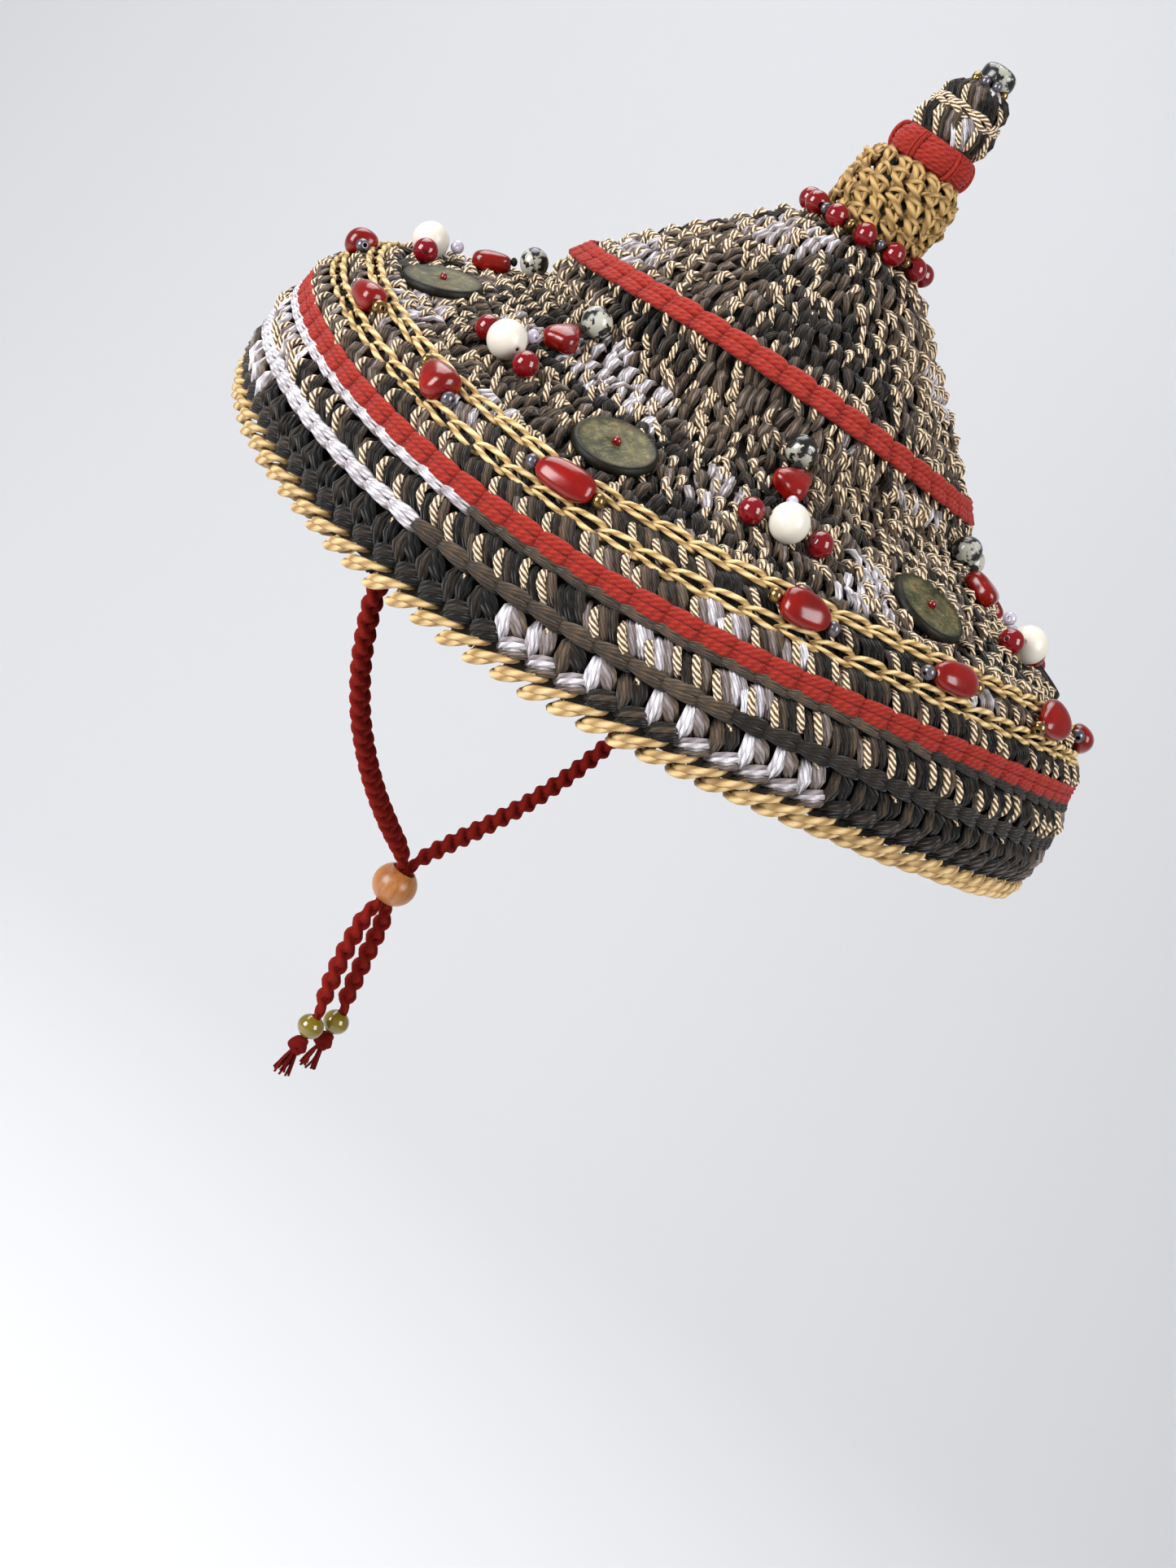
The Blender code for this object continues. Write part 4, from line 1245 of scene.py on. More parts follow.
CHAIN_RUNS = wall_runs((160.0, 36.0, 0.9), (224.0, 27.0, 0.44), (275.0, 24.0, 0.3))
LOW_CHAIN_RUNS = wall_runs((160.0, 28.0, 0.9), (211.0, 22.0, 0.42), (262.0, 30.0, 0.24))
PUFF_RUNS = wall_runs(
    (150.0, 12.0, 0.8), (186.0, 24.0, 0.26), (240.0, 9.0, 0.4), (268.0, 20.0, 0.24),
    (214.0, 3.2, 0.82), (219.5, 2.2, 0.82), (226.0, 2.2, 0.84), (231.0, 2.2, 0.84),
)
POST_RUNS = wall_runs(
    (190.0, 18.0, 0.4), (240.0, 8.0, 0.34), (268.0, 20.0, 0.24), (219.5, 2.4, 0.82),
    (226.0, 3.0, 0.8), (231.5, 2.8, 0.84), (60.0, 6.0, 0.8), (330.0, 5.0, 0.8),
)
SHOULDER_RUNS = wall_runs((183.0, 4.0, 0.82), (258.0, 5.0, 0.8))
FORK_RUNS = wall_runs(
    (152.0, 9.0, 0.86), (180.0, 22.0, 0.2), (212.0, 11.0, 0.36), (229.0, 5.0, 0.42),
    (264.0, 23.0, 0.24), (205.0, 2.2, 0.84), (209.0, 2.0, 0.86), (214.0, 3.0, 0.82),
    (226.0, 3.0, 0.84), (234.5, 2.6, 0.84), (239.5, 2.4, 0.86),
)
HEM_RUNS = wall_runs(
    (178.0, 24.0, 0.2), (218.0, 14.0, 0.34), (262.0, 20.0, 0.22), (207.0, 2.5, 0.78),
    (213.5, 2.0, 0.76), (228.5, 2.0, 0.8), (234.0, 2.2, 0.8), (239.5, 2.0, 0.8),
)
TIP_RUNS = wall_runs((190.0, 22.0, 0.5), (262.0, 16.0, 0.34), (222.0, 9.0, 0.85))

# Chains: piece, slope, height, links, width and depth of a link, rise, node that it stands for
RED_CHAINS = (
    ("red_crown_links", CROWN_SLOPE, 94.5, 46, 1.4, 1.1, 1.5, "red_crown_chain"),
    ("red_brim_links", BRIM_SLOPE, 35.8, 92, 1.08, 1.1, 1.3, "red_brim_chain"),
)
STRAW_CHAINS = (
    ("upper_straw_links", BRIM_SLOPE, 53.0, 76, 1.0, 1.0, 1.1, "raffia_chain_upper"),
    ("lower_straw_links", BRIM_SLOPE, 45.3, 81, 1.0, 1.0, 1.1, "raffia_chain_lower"),
)
# Yarn chains: piece, height, width of a link, seed and colour runs
YARN_CHAINS = (
    ("upper_yarn_links", 31.6, 0.78, (21, CHAIN_RUNS, 0.0, (12, 26))),
    ("lower_yarn_links", 20.0, 1.08, (22, LOW_CHAIN_RUNS, 0.0, (12, 26))),
)
# Wall rows: piece, height, stitches, kinds in turn, seed and colour runs, rise, size, looseness, shift
ARCHED_ROWS = (
    (
        "arched_row", 25.8, 100, (0, 2, 4, 1, 3, 2, 0, 4, 1), (31, PUFF_RUNS),
        -0.3, (1.0, 0.98, 1.0), 0.08, 0.0,
    ),
    ("post_row", 40.6, 100, (0, 1, 4, 2, 3, 0, 2), (32, POST_RUNS), -0.6, (0.95, 0.86, 0.95), 0.08, 0.3),
    ("shoulder_row", 49.6, 96, (2, 0, 4, 1, 3), (35, SHOULDER_RUNS), -0.9, (0.95, 0.78, 0.9), 0.1, 0.1),
)
FORKED_ROWS = (
    ("forked_row", 13.6, 102, (0, 0, 1), (33, FORK_RUNS), -0.2, (1.0, 1.0, 1.0), 0.06, 0.0),
    ("hem_row", 7.6, 102, (2,), (34, HEM_RUNS, 0.0, (2, 5)), 0.0, (0.95, 0.95, 1.0), 0.05, 0.45),
)


def field(name, slope, first, last, rows, pitch, families, seed, inside=False, kinds=6, loose=0.32):
    """Rounds of leaning stitches between two distances down a slope."""
    guides = Guides()
    rng = np.random.default_rng(seed)
    for row in range(rows):
        distance = first + (last - first) * (row + 0.5) / rows
        radius, height = slope.profile(distance)
        count = int(round(TAU * radius / pitch))
        angle = (np.arange(count) + 0.5 * (row % 2)) * TAU / count
        angle = angle + rng.uniform(-0.18, 0.18, count) * pitch / radius
        wander = rng.uniform(-0.9, 0.9, count)
        rise = STITCH_SINK + rng.uniform(-0.3, 0.3, count)
        spot = slope.frame(distance + wander, angle, rise, inside)
        pick = rng.integers(0, kinds, count)
        golden = degrees_off(angle, GOLD_SIDE[0]) < GOLD_SIDE[1]
        pick = np.where((pick == PLAIN_KIND) & golden, GOLDEN_KIND, pick)
        shade = stitch_shade(angle, row + seed * 7, YARN_RUNS, float(height))
        wide = np.full(count, TAU * radius / count / STITCH_WIDE)
        tall = rng.uniform(0.95, 1.12, count) * (last - first) / rows / STITCH_TALL
        deep = rng.uniform(0.85, 1.2, count)
        guides.add(spot, pick, shade, np.stack([wide, tall, deep], axis=-1))
    lay(name, guides, *families, (YARN, ROPE), "yarn_mix", (), seed, loose)


def ring_row(
    name, families, distance, count, picks, finishes, body_slot, nodes=(), shade=None,
    slope=BRIM_SLOPE, rise=0.0, size=(1.0, 1.0, 1.0), loose=0.0, shift=0.0,
):
    """One round of strands at a distance down a slope; shade holds what stitch_shade asks for."""
    angle = (np.arange(count) + shift) * TAU / count
    shades = stitch_shade(angle, *shade) if shade else np.full(count, 0.5)
    guides = Guides()
    guides.add(slope.frame(distance, angle, rise), np.resize(picks, count), shades, size)
    lay(name, guides, *families, finishes, body_slot, nodes, loose=loose)


def shell(name, outer, inner, poles, nodes):
    """The cloth behind the stitches as one closed wall."""
    segments = 180
    angles = TAU * np.arange(segments) / segments
    rows = list(outer) + list(inner)
    grid = np.stack([place(np.full(segments, r), np.full(segments, z), angles) for r, z in rows], axis=1)
    count = len(rows)
    points = list(grid.reshape(-1, 3))
    faces = []
    bands = count - 1 if poles else count
    for i in range(segments):
        n = (i + 1) % segments
        for k in range(bands):
            m = (k + 1) % count
            faces.append((i * count + k, i * count + m, n * count + m, n * count + k))
    if poles:
        for (height, row, order) in ((poles[0], 0, 1), (poles[1], count - 1, -1)):
            points.append(place(0.0, height, 0.0))
            tip = len(points) - 1
            for i in range(segments):
                ring = (i * count + row, (i + 1) % segments * count + row)
                faces.append((tip, *ring[::order]))
    made = Pieces()
    made.add(np.array(points), faces)
    made.build(name, [CLOTH], "yarn_mix", *nodes)


def sunk(rows, depth):
    """Rows moved into the cloth by a depth."""
    rows = np.array(rows)
    ahead = np.gradient(rows, axis=0)
    ahead /= np.linalg.norm(ahead, axis=1, keepdims=True)
    return (rows + np.stack([ahead[:, 1], -ahead[:, 0]], axis=-1) * depth).tolist()


def make_cloth():
    """The crown's cloth with its stem, and the brim's."""
    outer = sunk(CROWN_OUTER[1:], CLOTH_SINK)
    stem = [(STEM_RADIUS, STEM_TOP), (STEM_RADIUS, CROWN_OUTER[0][1])]
    inner = sunk(CROWN_INNER[:-1], LINING_SINK)
    poles = (STEM_TOP, CROWN_INNER[-1][1])
    shell("crown_cloth", stem + outer[1:], inner, poles, ("crown",))
    outer = [(r, max(z, CLOTH_FOOT)) for r, z in sunk(BRIM_OUTER, CLOTH_SINK)]
    inner = [(r, max(z, CLOTH_FOOT)) for r, z in sunk(BRIM_INNER, LINING_SINK)]
    shell("brim_cloth", outer, inner, None, ("brim_slope", "brim_wall"))


def inner_family():
    """Small flat stitches for the inside, each with a gold twist beside it."""
    yarn = []
    gold = []
    for lean in (0.9, -0.9):
        shape = Pieces()
        path = arch((-1.7 * lean, -3.6, -1.0), (1.4 * lean, 3.4, -0.8), 1.6, 0.4 * lean, 4)
        strands(shape, path, 2.1, 2, sides=3)
        yarn.append(shape)
        shape = Pieces()
        path = arch((2.3 - 1.2 * lean, -3.3, -0.6), (2.3 + 1.2 * lean, 3.2, -0.6), 1.4, 0.6 * lean, 4)
        strands(shape, path, 1.9, 1, sides=4)
        gold.append(shape)
    return family("inner_yarn", yarn), family("inner_gold", gold)


def make_fields():
    """Stitches over the crown and the slope, and plainer ones inside."""
    outside = crochet_family()
    crown_end = CROWN_SLOPE.at_height(97.3)
    lip = CROWN_SLOPE.at_height(94.0)
    middle = BRIM_SLOPE.at_height(67.0)
    shoulder = BRIM_SLOPE.at_height(54.3)
    field("crown_stitches", CROWN_SLOPE, 5.0, crown_end, 10, 6.6, outside, 3)
    field("crown_lip_stitches", CROWN_SLOPE, lip, CROWN_SLOPE.ends[-1] + 0.8, 2, 6.6, outside, 4)
    field("upper_slope_stitches", BRIM_SLOPE, 0.2, middle, 5, 6.9, outside, 5)
    field("lower_slope_stitches", BRIM_SLOPE, middle, shoulder, 5, 6.9, outside, 6)
    ring_row(
        "seam_stitches", outside, 0.6, 76, (0, 3, 1, 4, 2, 5), (YARN, ROPE), "yarn_mix",
        shade=(9, YARN_RUNS, 84.0), rise=0.3, size=(0.95, 0.9, 0.95), loose=0.2,
    )
    clear_families(*outside)
    inside = inner_family()
    brim_end = BRIM_LINING.ends[-1] - 1.0
    field("brim_inside_stitches", BRIM_LINING, 0.5, brim_end, 14, 9.2, inside, 7, True, 2, 0.12)
    crown_end = CROWN_LINING.ends[-1]
    field("crown_inside_stitches", CROWN_LINING, 0.5, crown_end, 11, 8.0, inside, 8, True, 2, 0.12)
    clear_families(*inside)


def chain_rows(chains, links, pitch, finish, body_slot, loose):
    """Rounds of links, each stretched to meet the next one."""
    for name, slope, height, count, wide, deep, rise, node in chains:
        distance = slope.at_height(height)
        stretch = TAU * slope.profile(distance)[0] / count / pitch
        ring_row(
            name, links, distance, count, 0, (finish,), body_slot, (node,), slope=slope,
            rise=rise, size=(stretch, wide, deep), loose=loose,
        )
    clear_families(*links)


def make_chains():
    """The red, straw and yarn chains."""
    red = link_family("red_link", 1.85, 1.46, 2, 5, 7.2, 2.2, 0.5, 0.3)
    chain_rows(RED_CHAINS, red, 10.0, RED_WOOL, "red_yarn", 0.03)
    straw = link_family("straw_link", 1.62, 1.8, 1, 6, 7.4, 1.9)
    chain_rows(STRAW_CHAINS, straw, 11.0, PALE_RAFFIA, "raffia", 0.06)
    yarn = link_family("yarn_link", 1.4, 1.2, 2)
    for name, height, wide, shade in YARN_CHAINS:
        ring_row(
            name, yarn, BRIM_SLOPE.at_height(height), 92, 0, (YARN,), "yarn_mix", shade=shade,
            rise=0.9, size=(1.02, wide, 1.0), loose=0.05,
        )
    clear_families(*yarn)


def make_wall():
    """The rows of arched stitches down the side wall, and the forked ones and the hem under them."""
    for make_family, rows in ((puff_family, ARCHED_ROWS), (fork_family, FORKED_ROWS)):
        families = make_family()
        for name, height, count, picks, shade, rise, size, loose, shift in rows:
            ring_row(
                name, families, BRIM_SLOPE.at_height(height), count, picks, (YARN, ROPE), "yarn_mix",
                shade=shade, rise=rise, size=size, loose=loose, shift=shift,
            )
        clear_families(*families)


# The whipped rim: one stitch's line over the edge, how fast its strands wind, and the rim's stitches
WHIP_ROUTE = (
    (7.0, 3.8, -1.2), (4.6, 2.6, 1.2), (0.8, 0.7, 2.0), (-3.4, -1.5, 1.6), (-5.9, -2.9, 0.2),
    (-6.3, -3.8, -2.2), (-5.3, -3.8, -4.6), (-3.8, -2.6, -6.7), (-2.4, -0.2, -7.5), (-1.4, 1.6, -6.6),
)
WHIP_WIND = 0.54
WHIP_HEIGHT = 2.0
WHIP_COUNT = 102


def make_edging():
    """Straw stitches whipped over the rim, each of two strands wound together."""
    path = smooth_path(WHIP_ROUTE, 2.1)
    side, out = moving_axes(path, (0.0, 0.0, 1.0), False)
    turn = WHIP_WIND * np.arange(len(path))
    taper = np.sin(math.pi * np.linspace(0.1, 0.9, len(path))) ** 0.5
    shape = Pieces()
    for phase in (0.0, math.pi):
        off = side * np.cos(turn + phase)[:, None] + out * np.sin(turn + phase)[:, None] * 0.8
        shape.add(*tube(path + off * taper[:, None], 1.25 * taper, 1.05 * taper, 6))
    # The number after the shape sets the painted shade toward the whip's feet
    families = family("whip", (shape,), 0.08), family("whip_none", (None,))
    ring_row(
        "whipped_edge", families, BRIM_SLOPE.at_height(WHIP_HEIGHT), WHIP_COUNT, 0, (RAFFIA,), "raffia",
        ("raffia_edging",), loose=0.06,
    )
    clear_families(*families)


# Finial

# Rows of the collar and the tip: radius, height
COLLAR_ROWS = ((15.2, 141.2), (15.9, 144.0), (16.8, 149.0), (17.9, 158.0), (16.8, 166.0), (14.3, 170.7))
TIP_ROWS = ((11.9, 181.4), (12.5, 185.5), (12.0, 192.0), (10.2, 198.5), (8.0, 201.6))
# Bead ring at the finial's foot: radius, height, beads
BEAD_RING = (21.2, 145.0, 12)
# Wound band: middle and half height, radius, and the angles of its upright ties
BAND_MIDDLE = 176.1
BAND_HALF = 3.8
BAND_RADIUS = 12.3
TIES = (189.0, 250.0, 312.0, 8.0, 68.0, 129.0)
# Tip's loops: piece, height, loops, kinds in turn, size
TIP_LOOPS = (
    ("tip_loops", 186.6, 11, (0, 2, 4), (0.75, 0.98, 0.8)),
    ("tip_crown_loops", 197.3, 9, (3, 0), (0.75, 0.82, 0.8)),
)
TIP_GOLD_HEIGHT = 192.6
TIP_BEAD_HEIGHT = 206.4
TUFT_HEIGHT = 200.4


def axes_at(angle):
    """Outward and along-the-round directions in the level plane."""
    out = np.array([math.cos(angle), math.sin(angle), 0.0])
    return out, np.array([-out[1], out[0], 0.0])


def make_bead_ring():
    """Barrel beads with a small bead between each two, on one thread."""
    radius, height, count = BEAD_RING
    ring = Pieces()
    for k in range(count):
        angle = TAU * (k + 0.12) / count
        _, along = axes_at(angle)
        centre = place(radius, height, angle)
        ring.add(*round_bead(centre, along, 3.95, 3.55, 0.8, 24, 12))
        angle += TAU / count / 2.0
        _, along = axes_at(angle)
        centre = place(radius - 0.3, height, angle)
        ring.add(*round_bead(centre, along, 1.95, 1.45, 0.55, 14, 8), slot=1 + k % 2)
    line = [place(radius, height, TAU * k / 96) for k in range(96)]
    ring.add(*tube(line, 0.45, 0.45, 6, closed=True), slot=3)
    ring.build("barrel_bead_ring", [RED_GLASS, BRASS, GREY_SEED, HOLE], "red_glass", "finial_bead_ring")


def net_family():
    """Crossing straw loops of the collar's net, four ways."""
    shapes = []
    rng = np.random.default_rng(41)
    for _ in range(4):
        shape = Pieces()
        routes = (
            ((-3.1, 3.5, -1.2), (-1.6, 1.6, 0.5), (0.9, -1.1, 1.1), (2.9, -3.7, -1.0)),
            ((-2.2, -3.6, -1.4), (-0.8, -1.2, 0.2), (0.6, 1.6, 0.3), (2.4, 3.6, -1.3)),
            ((-3.7, 2.0, -0.9), (-1.4, 3.3, 0.7), (1.2, 3.0, 0.9), (3.5, 1.6, -0.7)),
            ((0.4, 3.4, -1.0), (1.9, 2.2, 0.9), (1.7, -0.6, 0.6), (0.6, -2.6, -1.2)),
        )
        for index, rows in enumerate(routes):
            rows = np.array(rows) + rng.uniform(-0.45, 0.45, (4, 3)) * (1.0, 1.0, 0.5)
            path = smooth_path(rows, 1.5)
            taper = np.sin(math.pi * np.linspace(0.14, 0.86, len(path))) ** 0.3
            wide = (1.35, 1.0, 0.95, 0.85)[index]
            shape.add(*tube(path, wide * taper, 0.62 * taper, 5))
        shapes.append(shape)
    # The number after the shapes sets the painted shade toward the loops' feet
    return family("net", shapes, 0.3), family("net_none", (None,))


def make_collar():
    """An open net of straw loops knotted round the stem."""
    slope = Slope(tuple(reversed(COLLAR_ROWS)))
    guides = Guides()
    rng = np.random.default_rng(17)
    rows = 6
    for row in range(rows):
        distance = slope.ends[-1] * (row + 0.5) / rows
        radius = float(slope.profile(distance)[0])
        count = 17 if 0 < row < rows - 1 else 15
        angle = (np.arange(count) + 0.5 * (row % 2)) * TAU / count + rng.uniform(-0.06, 0.06, count)
        spot = slope.frame(distance + rng.uniform(-0.4, 0.4, count), angle, -1.1)
        deep = rng.uniform(0.9, 1.25, count)
        size = np.stack([np.full(count, radius / 16.5), np.full(count, 0.95), deep], axis=-1)
        guides.add(spot, rng.integers(0, 4, count), np.full(count, 0.5), size)
    families = net_family()
    lay("knotted_collar", guides, *families, (TAN_RAFFIA,), "raffia", ("raffia_collar",), 5, 0.34)
    clear_families(*families)


def make_band():
    """Red wool wound in level turns and pinched by upright ties."""
    band = Pieces()
    steps = 96
    angle = TAU * np.arange(steps) / steps
    near = np.min([degrees_off(angle, tie) for tie in TIES], axis=0)
    puff = np.clip(near / 30.0, 0.0, 1.0) ** 0.55
    for index, height in enumerate(np.linspace(BAND_MIDDLE - BAND_HALF, BAND_MIDDLE + BAND_HALF, 7)):
        at = (height - BAND_MIDDLE) / BAND_HALF
        wander = 0.35 * np.sin(angle * (2.0 + index % 3) + index * 2.1)
        pinched = BAND_MIDDLE + (height - BAND_MIDDLE) * (0.72 + 0.28 * puff)
        radius = BAND_RADIUS + 1.3 * puff * (1.0 - 0.55 * at * at) - 0.5 * at * at
        line = place(radius, pinched + wander, angle)
        band.add(*tube(line, 0.95, 0.95, 6, closed=True))
    core = [(r * 0.9, h) for r, h in ((12.0, 171.4), (13.2, 173.6), (13.2, 178.6), (12.0, 180.8))]
    ring = np.arange(48) * TAU / 48
    for (r0, h0), (r1, h1) in zip(core, core[1:]):
        line = place(np.full(48, (r0 + r1) / 2.0 - 1.0), np.full(48, (h0 + h1) / 2.0), ring)
        band.add(*tube(line, 2.1, 2.1, 6, closed=True))
    t = np.linspace(0.0, TAU, 25)[:-1]
    for tie in TIES:
        turn = math.radians(tie)
        out, along = axes_at(turn)
        centre = place(0.0, BAND_MIDDLE, turn)
        for off in (-0.55, 0.5):
            loop = centre + out * (BAND_RADIUS - 0.7 + 2.5 * np.cos(t))[:, None]
            loop = loop + along * (off + 0.35 * np.sin(t))[:, None]
            loop = loop + np.array([0.0, 0.0, 4.7]) * np.sin(t)[:, None]
            band.add(*tube(loop, 0.7, 0.6, 7, up=along, closed=True, lobes=3, lobe=0.12))
    band.build("wound_red_band", [RED_WOOL], "red_yarn", "red_wrap_band")


def make_tip_core():
    """The cloth inside the tip, as one closed turned solid."""
    core = Pieces()
    sides = 32
    ring = TAU * np.arange(sides) / sides
    rows = [place(np.full(sides, r - 1.6), np.full(sides, z), ring) for r, z in TIP_ROWS]
    last = (len(rows) - 1) * sides
    faces = [tuple(reversed(range(sides))), tuple(last + k for k in range(sides))]
    for foot in range(0, last, sides):
        for k in range(sides):
            n = (k + 1) % sides
            faces.append((foot + k, foot + n, foot + sides + n, foot + sides + k))
    core.add(np.concatenate(rows), faces)
    core.build("tip_core", [CLOTH], "yarn_mix", "finial_tip")


def make_tuft():
    """Short strands drawn in over the top of the tip."""
    top = Pieces()
    rng = np.random.default_rng(23)
    count = 15
    t = np.linspace(0.0, 1.0, 6)[:, None]
    for k in range(count):
        turn = TAU * k / count
        out, along = axes_at(turn)
        centre = place(0.0, TUFT_HEIGHT, turn)
        start = centre + out * 8.4 + (0.0, 0.0, -2.2)
        end = centre + out * 1.6 + along * rng.uniform(-2.0, 2.0) + (0.0, 0.0, 1.9)
        path = start + (end - start) * t + np.array([0.0, 0.0, 1.5]) * np.sin(math.pi * t)
        pale = 0.86 if k in (10, 11, 12) else rng.choice((0.38, 0.5))
        top.add(*tube(path, 1.25, 0.95, 7, lobes=3, lobe=0.1), shade=pale)
    top.build("tip_tuft", [YARN], "yarn_mix")


def make_tip():
    """The worked tip: tall dark loops, a round of gold links and a tuft at the top."""
    make_tip_core()
    slope = Slope(tuple(reversed(TIP_ROWS)))
    puffs = puff_family()
    links = link_family("gold_link", 1.7, 1.2, 1, 7, 4.6, 1.5)
    for name, height, count, picks, size in TIP_LOOPS:
        ring_row(
            name, puffs, slope.at_height(height), count, picks, (YARN, ROPE), "yarn_mix",
            shade=(51 + count, TIP_RUNS, 0.0, (1, 4)), slope=slope, rise=-2.2, size=size, loose=0.2,
        )
    ring_row(
        "tip_gold_links", links, slope.at_height(TIP_GOLD_HEIGHT), 9, 0, (ROPE,), "yarn_mix",
        slope=slope, rise=-1.5, size=(1.0, 1.1, 0.9), loose=0.3,
    )
    clear_families(*puffs, *links)
    make_tuft()


def pebble(centre, axes, halves, sides, rings, power, taper=0.0, corners=0.0, turn=0.0, seed=0):
    """A smooth pebble whose first axis runs between its poles; halves are its half sizes."""
    centre = np.asarray(centre, float)
    rng = np.random.default_rng(seed)
    wave = rng.uniform(-1.0, 1.0, 6)
    points = []
    first, second, third = (np.asarray(a, float) for a in axes)
    for j in range(rings + 1):
        at = -math.cos(math.pi * j / rings)
        size = max(1.0 - abs(at) ** power, 0.0) ** (1.0 / power) * (1.0 + taper * at)
        for k in range(sides if 0 < j < rings else 1):
            angle = TAU * k / sides
            round_off = 1.0 + corners * math.cos(3.0 * angle + turn)
            dent = wave[0] * math.sin(angle + wave[1] * 3.0 + 2.0 * at)
            dent = 1.0 + 0.03 * (dent + wave[2] * math.cos(2.0 * angle + 3.0 * at * wave[3]))
            size_here = size * round_off * dent if 0 < j < rings else 0.0
            points.append(
                centre + first * halves[0] * at + second * halves[1] * size_here * math.cos(angle)
                + third * halves[2] * size_here * math.sin(angle)
            )
    faces = []
    for k in range(sides):
        n = (k + 1) % sides
        faces.append((0, 1 + n, 1 + k))
        for j in range(rings - 2):
            a, b = 1 + j * sides, 1 + (j + 1) * sides
            faces.append((a + k, a + n, b + n, b + k))
        last = 1 + (rings - 2) * sides
        faces.append((last + k, last + n, len(points) - 1))
    if np.dot(np.cross(first, second), third) < 0.0:
        faces = [tuple(reversed(face)) for face in faces]
    return np.array(points), faces


def make_tip_bead():
    """The spotted bead at the very top, on a ring of seed beads."""
    bead = Pieces()
    middle = place(0.0, TIP_BEAD_HEIGHT, 0.0)
    first = np.array([0.0, 0.0, 1.0])
    out, along = axes_at(math.radians(215.0))
    bead.add(*pebble(middle + along * 0.3, (first, out, along), (4.1, 5.3, 5.9), 30, 18, 2.5, seed=4))
    foot = place(0.0, TIP_BEAD_HEIGHT - 3.5, 0.0)
    for k, slot in enumerate((1, 2, 1, 1, 2, 2, 1, 2)):
        spoke, tangent = axes_at(TAU * (k + 0.3) / 8)
        centre = foot + spoke * 5.0 + (0.0, 0.0, 0.45 * (k % 3))
        bead.add(*round_bead(centre, tangent + spoke * 0.4 * (k % 2), 1.95, 1.55, 0.6, 14, 8), slot=slot)
    bead.build("mottled_tip_bead", [SPOTTED_DARK, BRASS, GREY_SEED], "spotted_stone", "tip_bead")


# Beads, stones and discs on the brim

# Radius at which each kind sits on the slope, and how far apart the strung beads are
DISC_SEAT = 115.2
DISC_LIFT = 0.45
WHITE_SEAT = 112.9
CHIP_SEAT = 92.8
SPOTTED_SEAT = 81.6
STONE_SEAT = 137.2
RED_TURN = math.radians(5.4)
RED_BEAD = 4.0
WHITE_BEAD = 6.0
SPOTTED_BEAD = 4.9
DISC_ANGLES = (199.3, 250.8, 302.8, 354.3, 45.7, 97.1, 149.2)
# Bead groups: angle and shift toward the rim; then those whose spotted bead is the darker one
GROUPS = (
    (174.3, 0.0), (225.7, 0.0), (277.1, 1.5), (320.5, 6.0), (20.0, 1.0), (71.4, 0.0), (129.5, 7.0),
)
DARK_GROUPS = (2, 3, 6)
# Stones: angle, half length, half width, half thickness, taper, turn
STONES = (
    (157.1, 7.0, 4.6, 4.0, 0.15, 8), (178.6, 7.2, 5.4, 4.0, 0.35, -14),
    (199.9, 9.2, 5.0, 3.9, 0.10, 3), (230.3, 7.6, 5.3, 4.1, -0.20, -6),
    (251.4, 8.2, 4.9, 4.0, 0.10, 5), (272.2, 6.9, 5.6, 4.2, 0.45, 20),
    (294.5, 7.0, 4.6, 3.9, -0.10, -8), (322.0, 7.4, 4.8, 4.0, 0.20, 6),
    (349.0, 7.8, 5.0, 4.0, -0.15, -5), (20.5, 7.2, 4.7, 3.9, 0.25, 9),
    (46.5, 8.0, 5.1, 4.1, 0.0, -3), (73.0, 7.0, 4.8, 4.0, -0.30, 7),
    (99.5, 7.6, 4.9, 4.0, 0.10, -6), (131.0, 7.0, 5.0, 4.0, 0.30, 12),
)


def brim_spot(radius, angle, rise):
    """Place, along-the-round, uphill and outward directions on the brim's top."""
    rows = BRIM_SLOPE.rows
    index = int(np.searchsorted(rows[:8, 0], radius)) - 1
    low, high = rows[index], rows[index + 1]
    share = (radius - low[0]) / (high[0] - low[0])
    distance = BRIM_SLOPE.ends[index] + share * (BRIM_SLOPE.ends[index + 1] - BRIM_SLOPE.ends[index])
    point, outward, along, uphill = (v.reshape(3) for v in BRIM_SLOPE.frame(distance, angle))
    return point + outward * rise, along, uphill, outward


def spun(along, uphill, spin):
    """The two directions in the surface, turned by an angle."""
    one = along * math.cos(spin) + uphill * math.sin(spin)
    return one, uphill * math.cos(spin) - along * math.sin(spin)


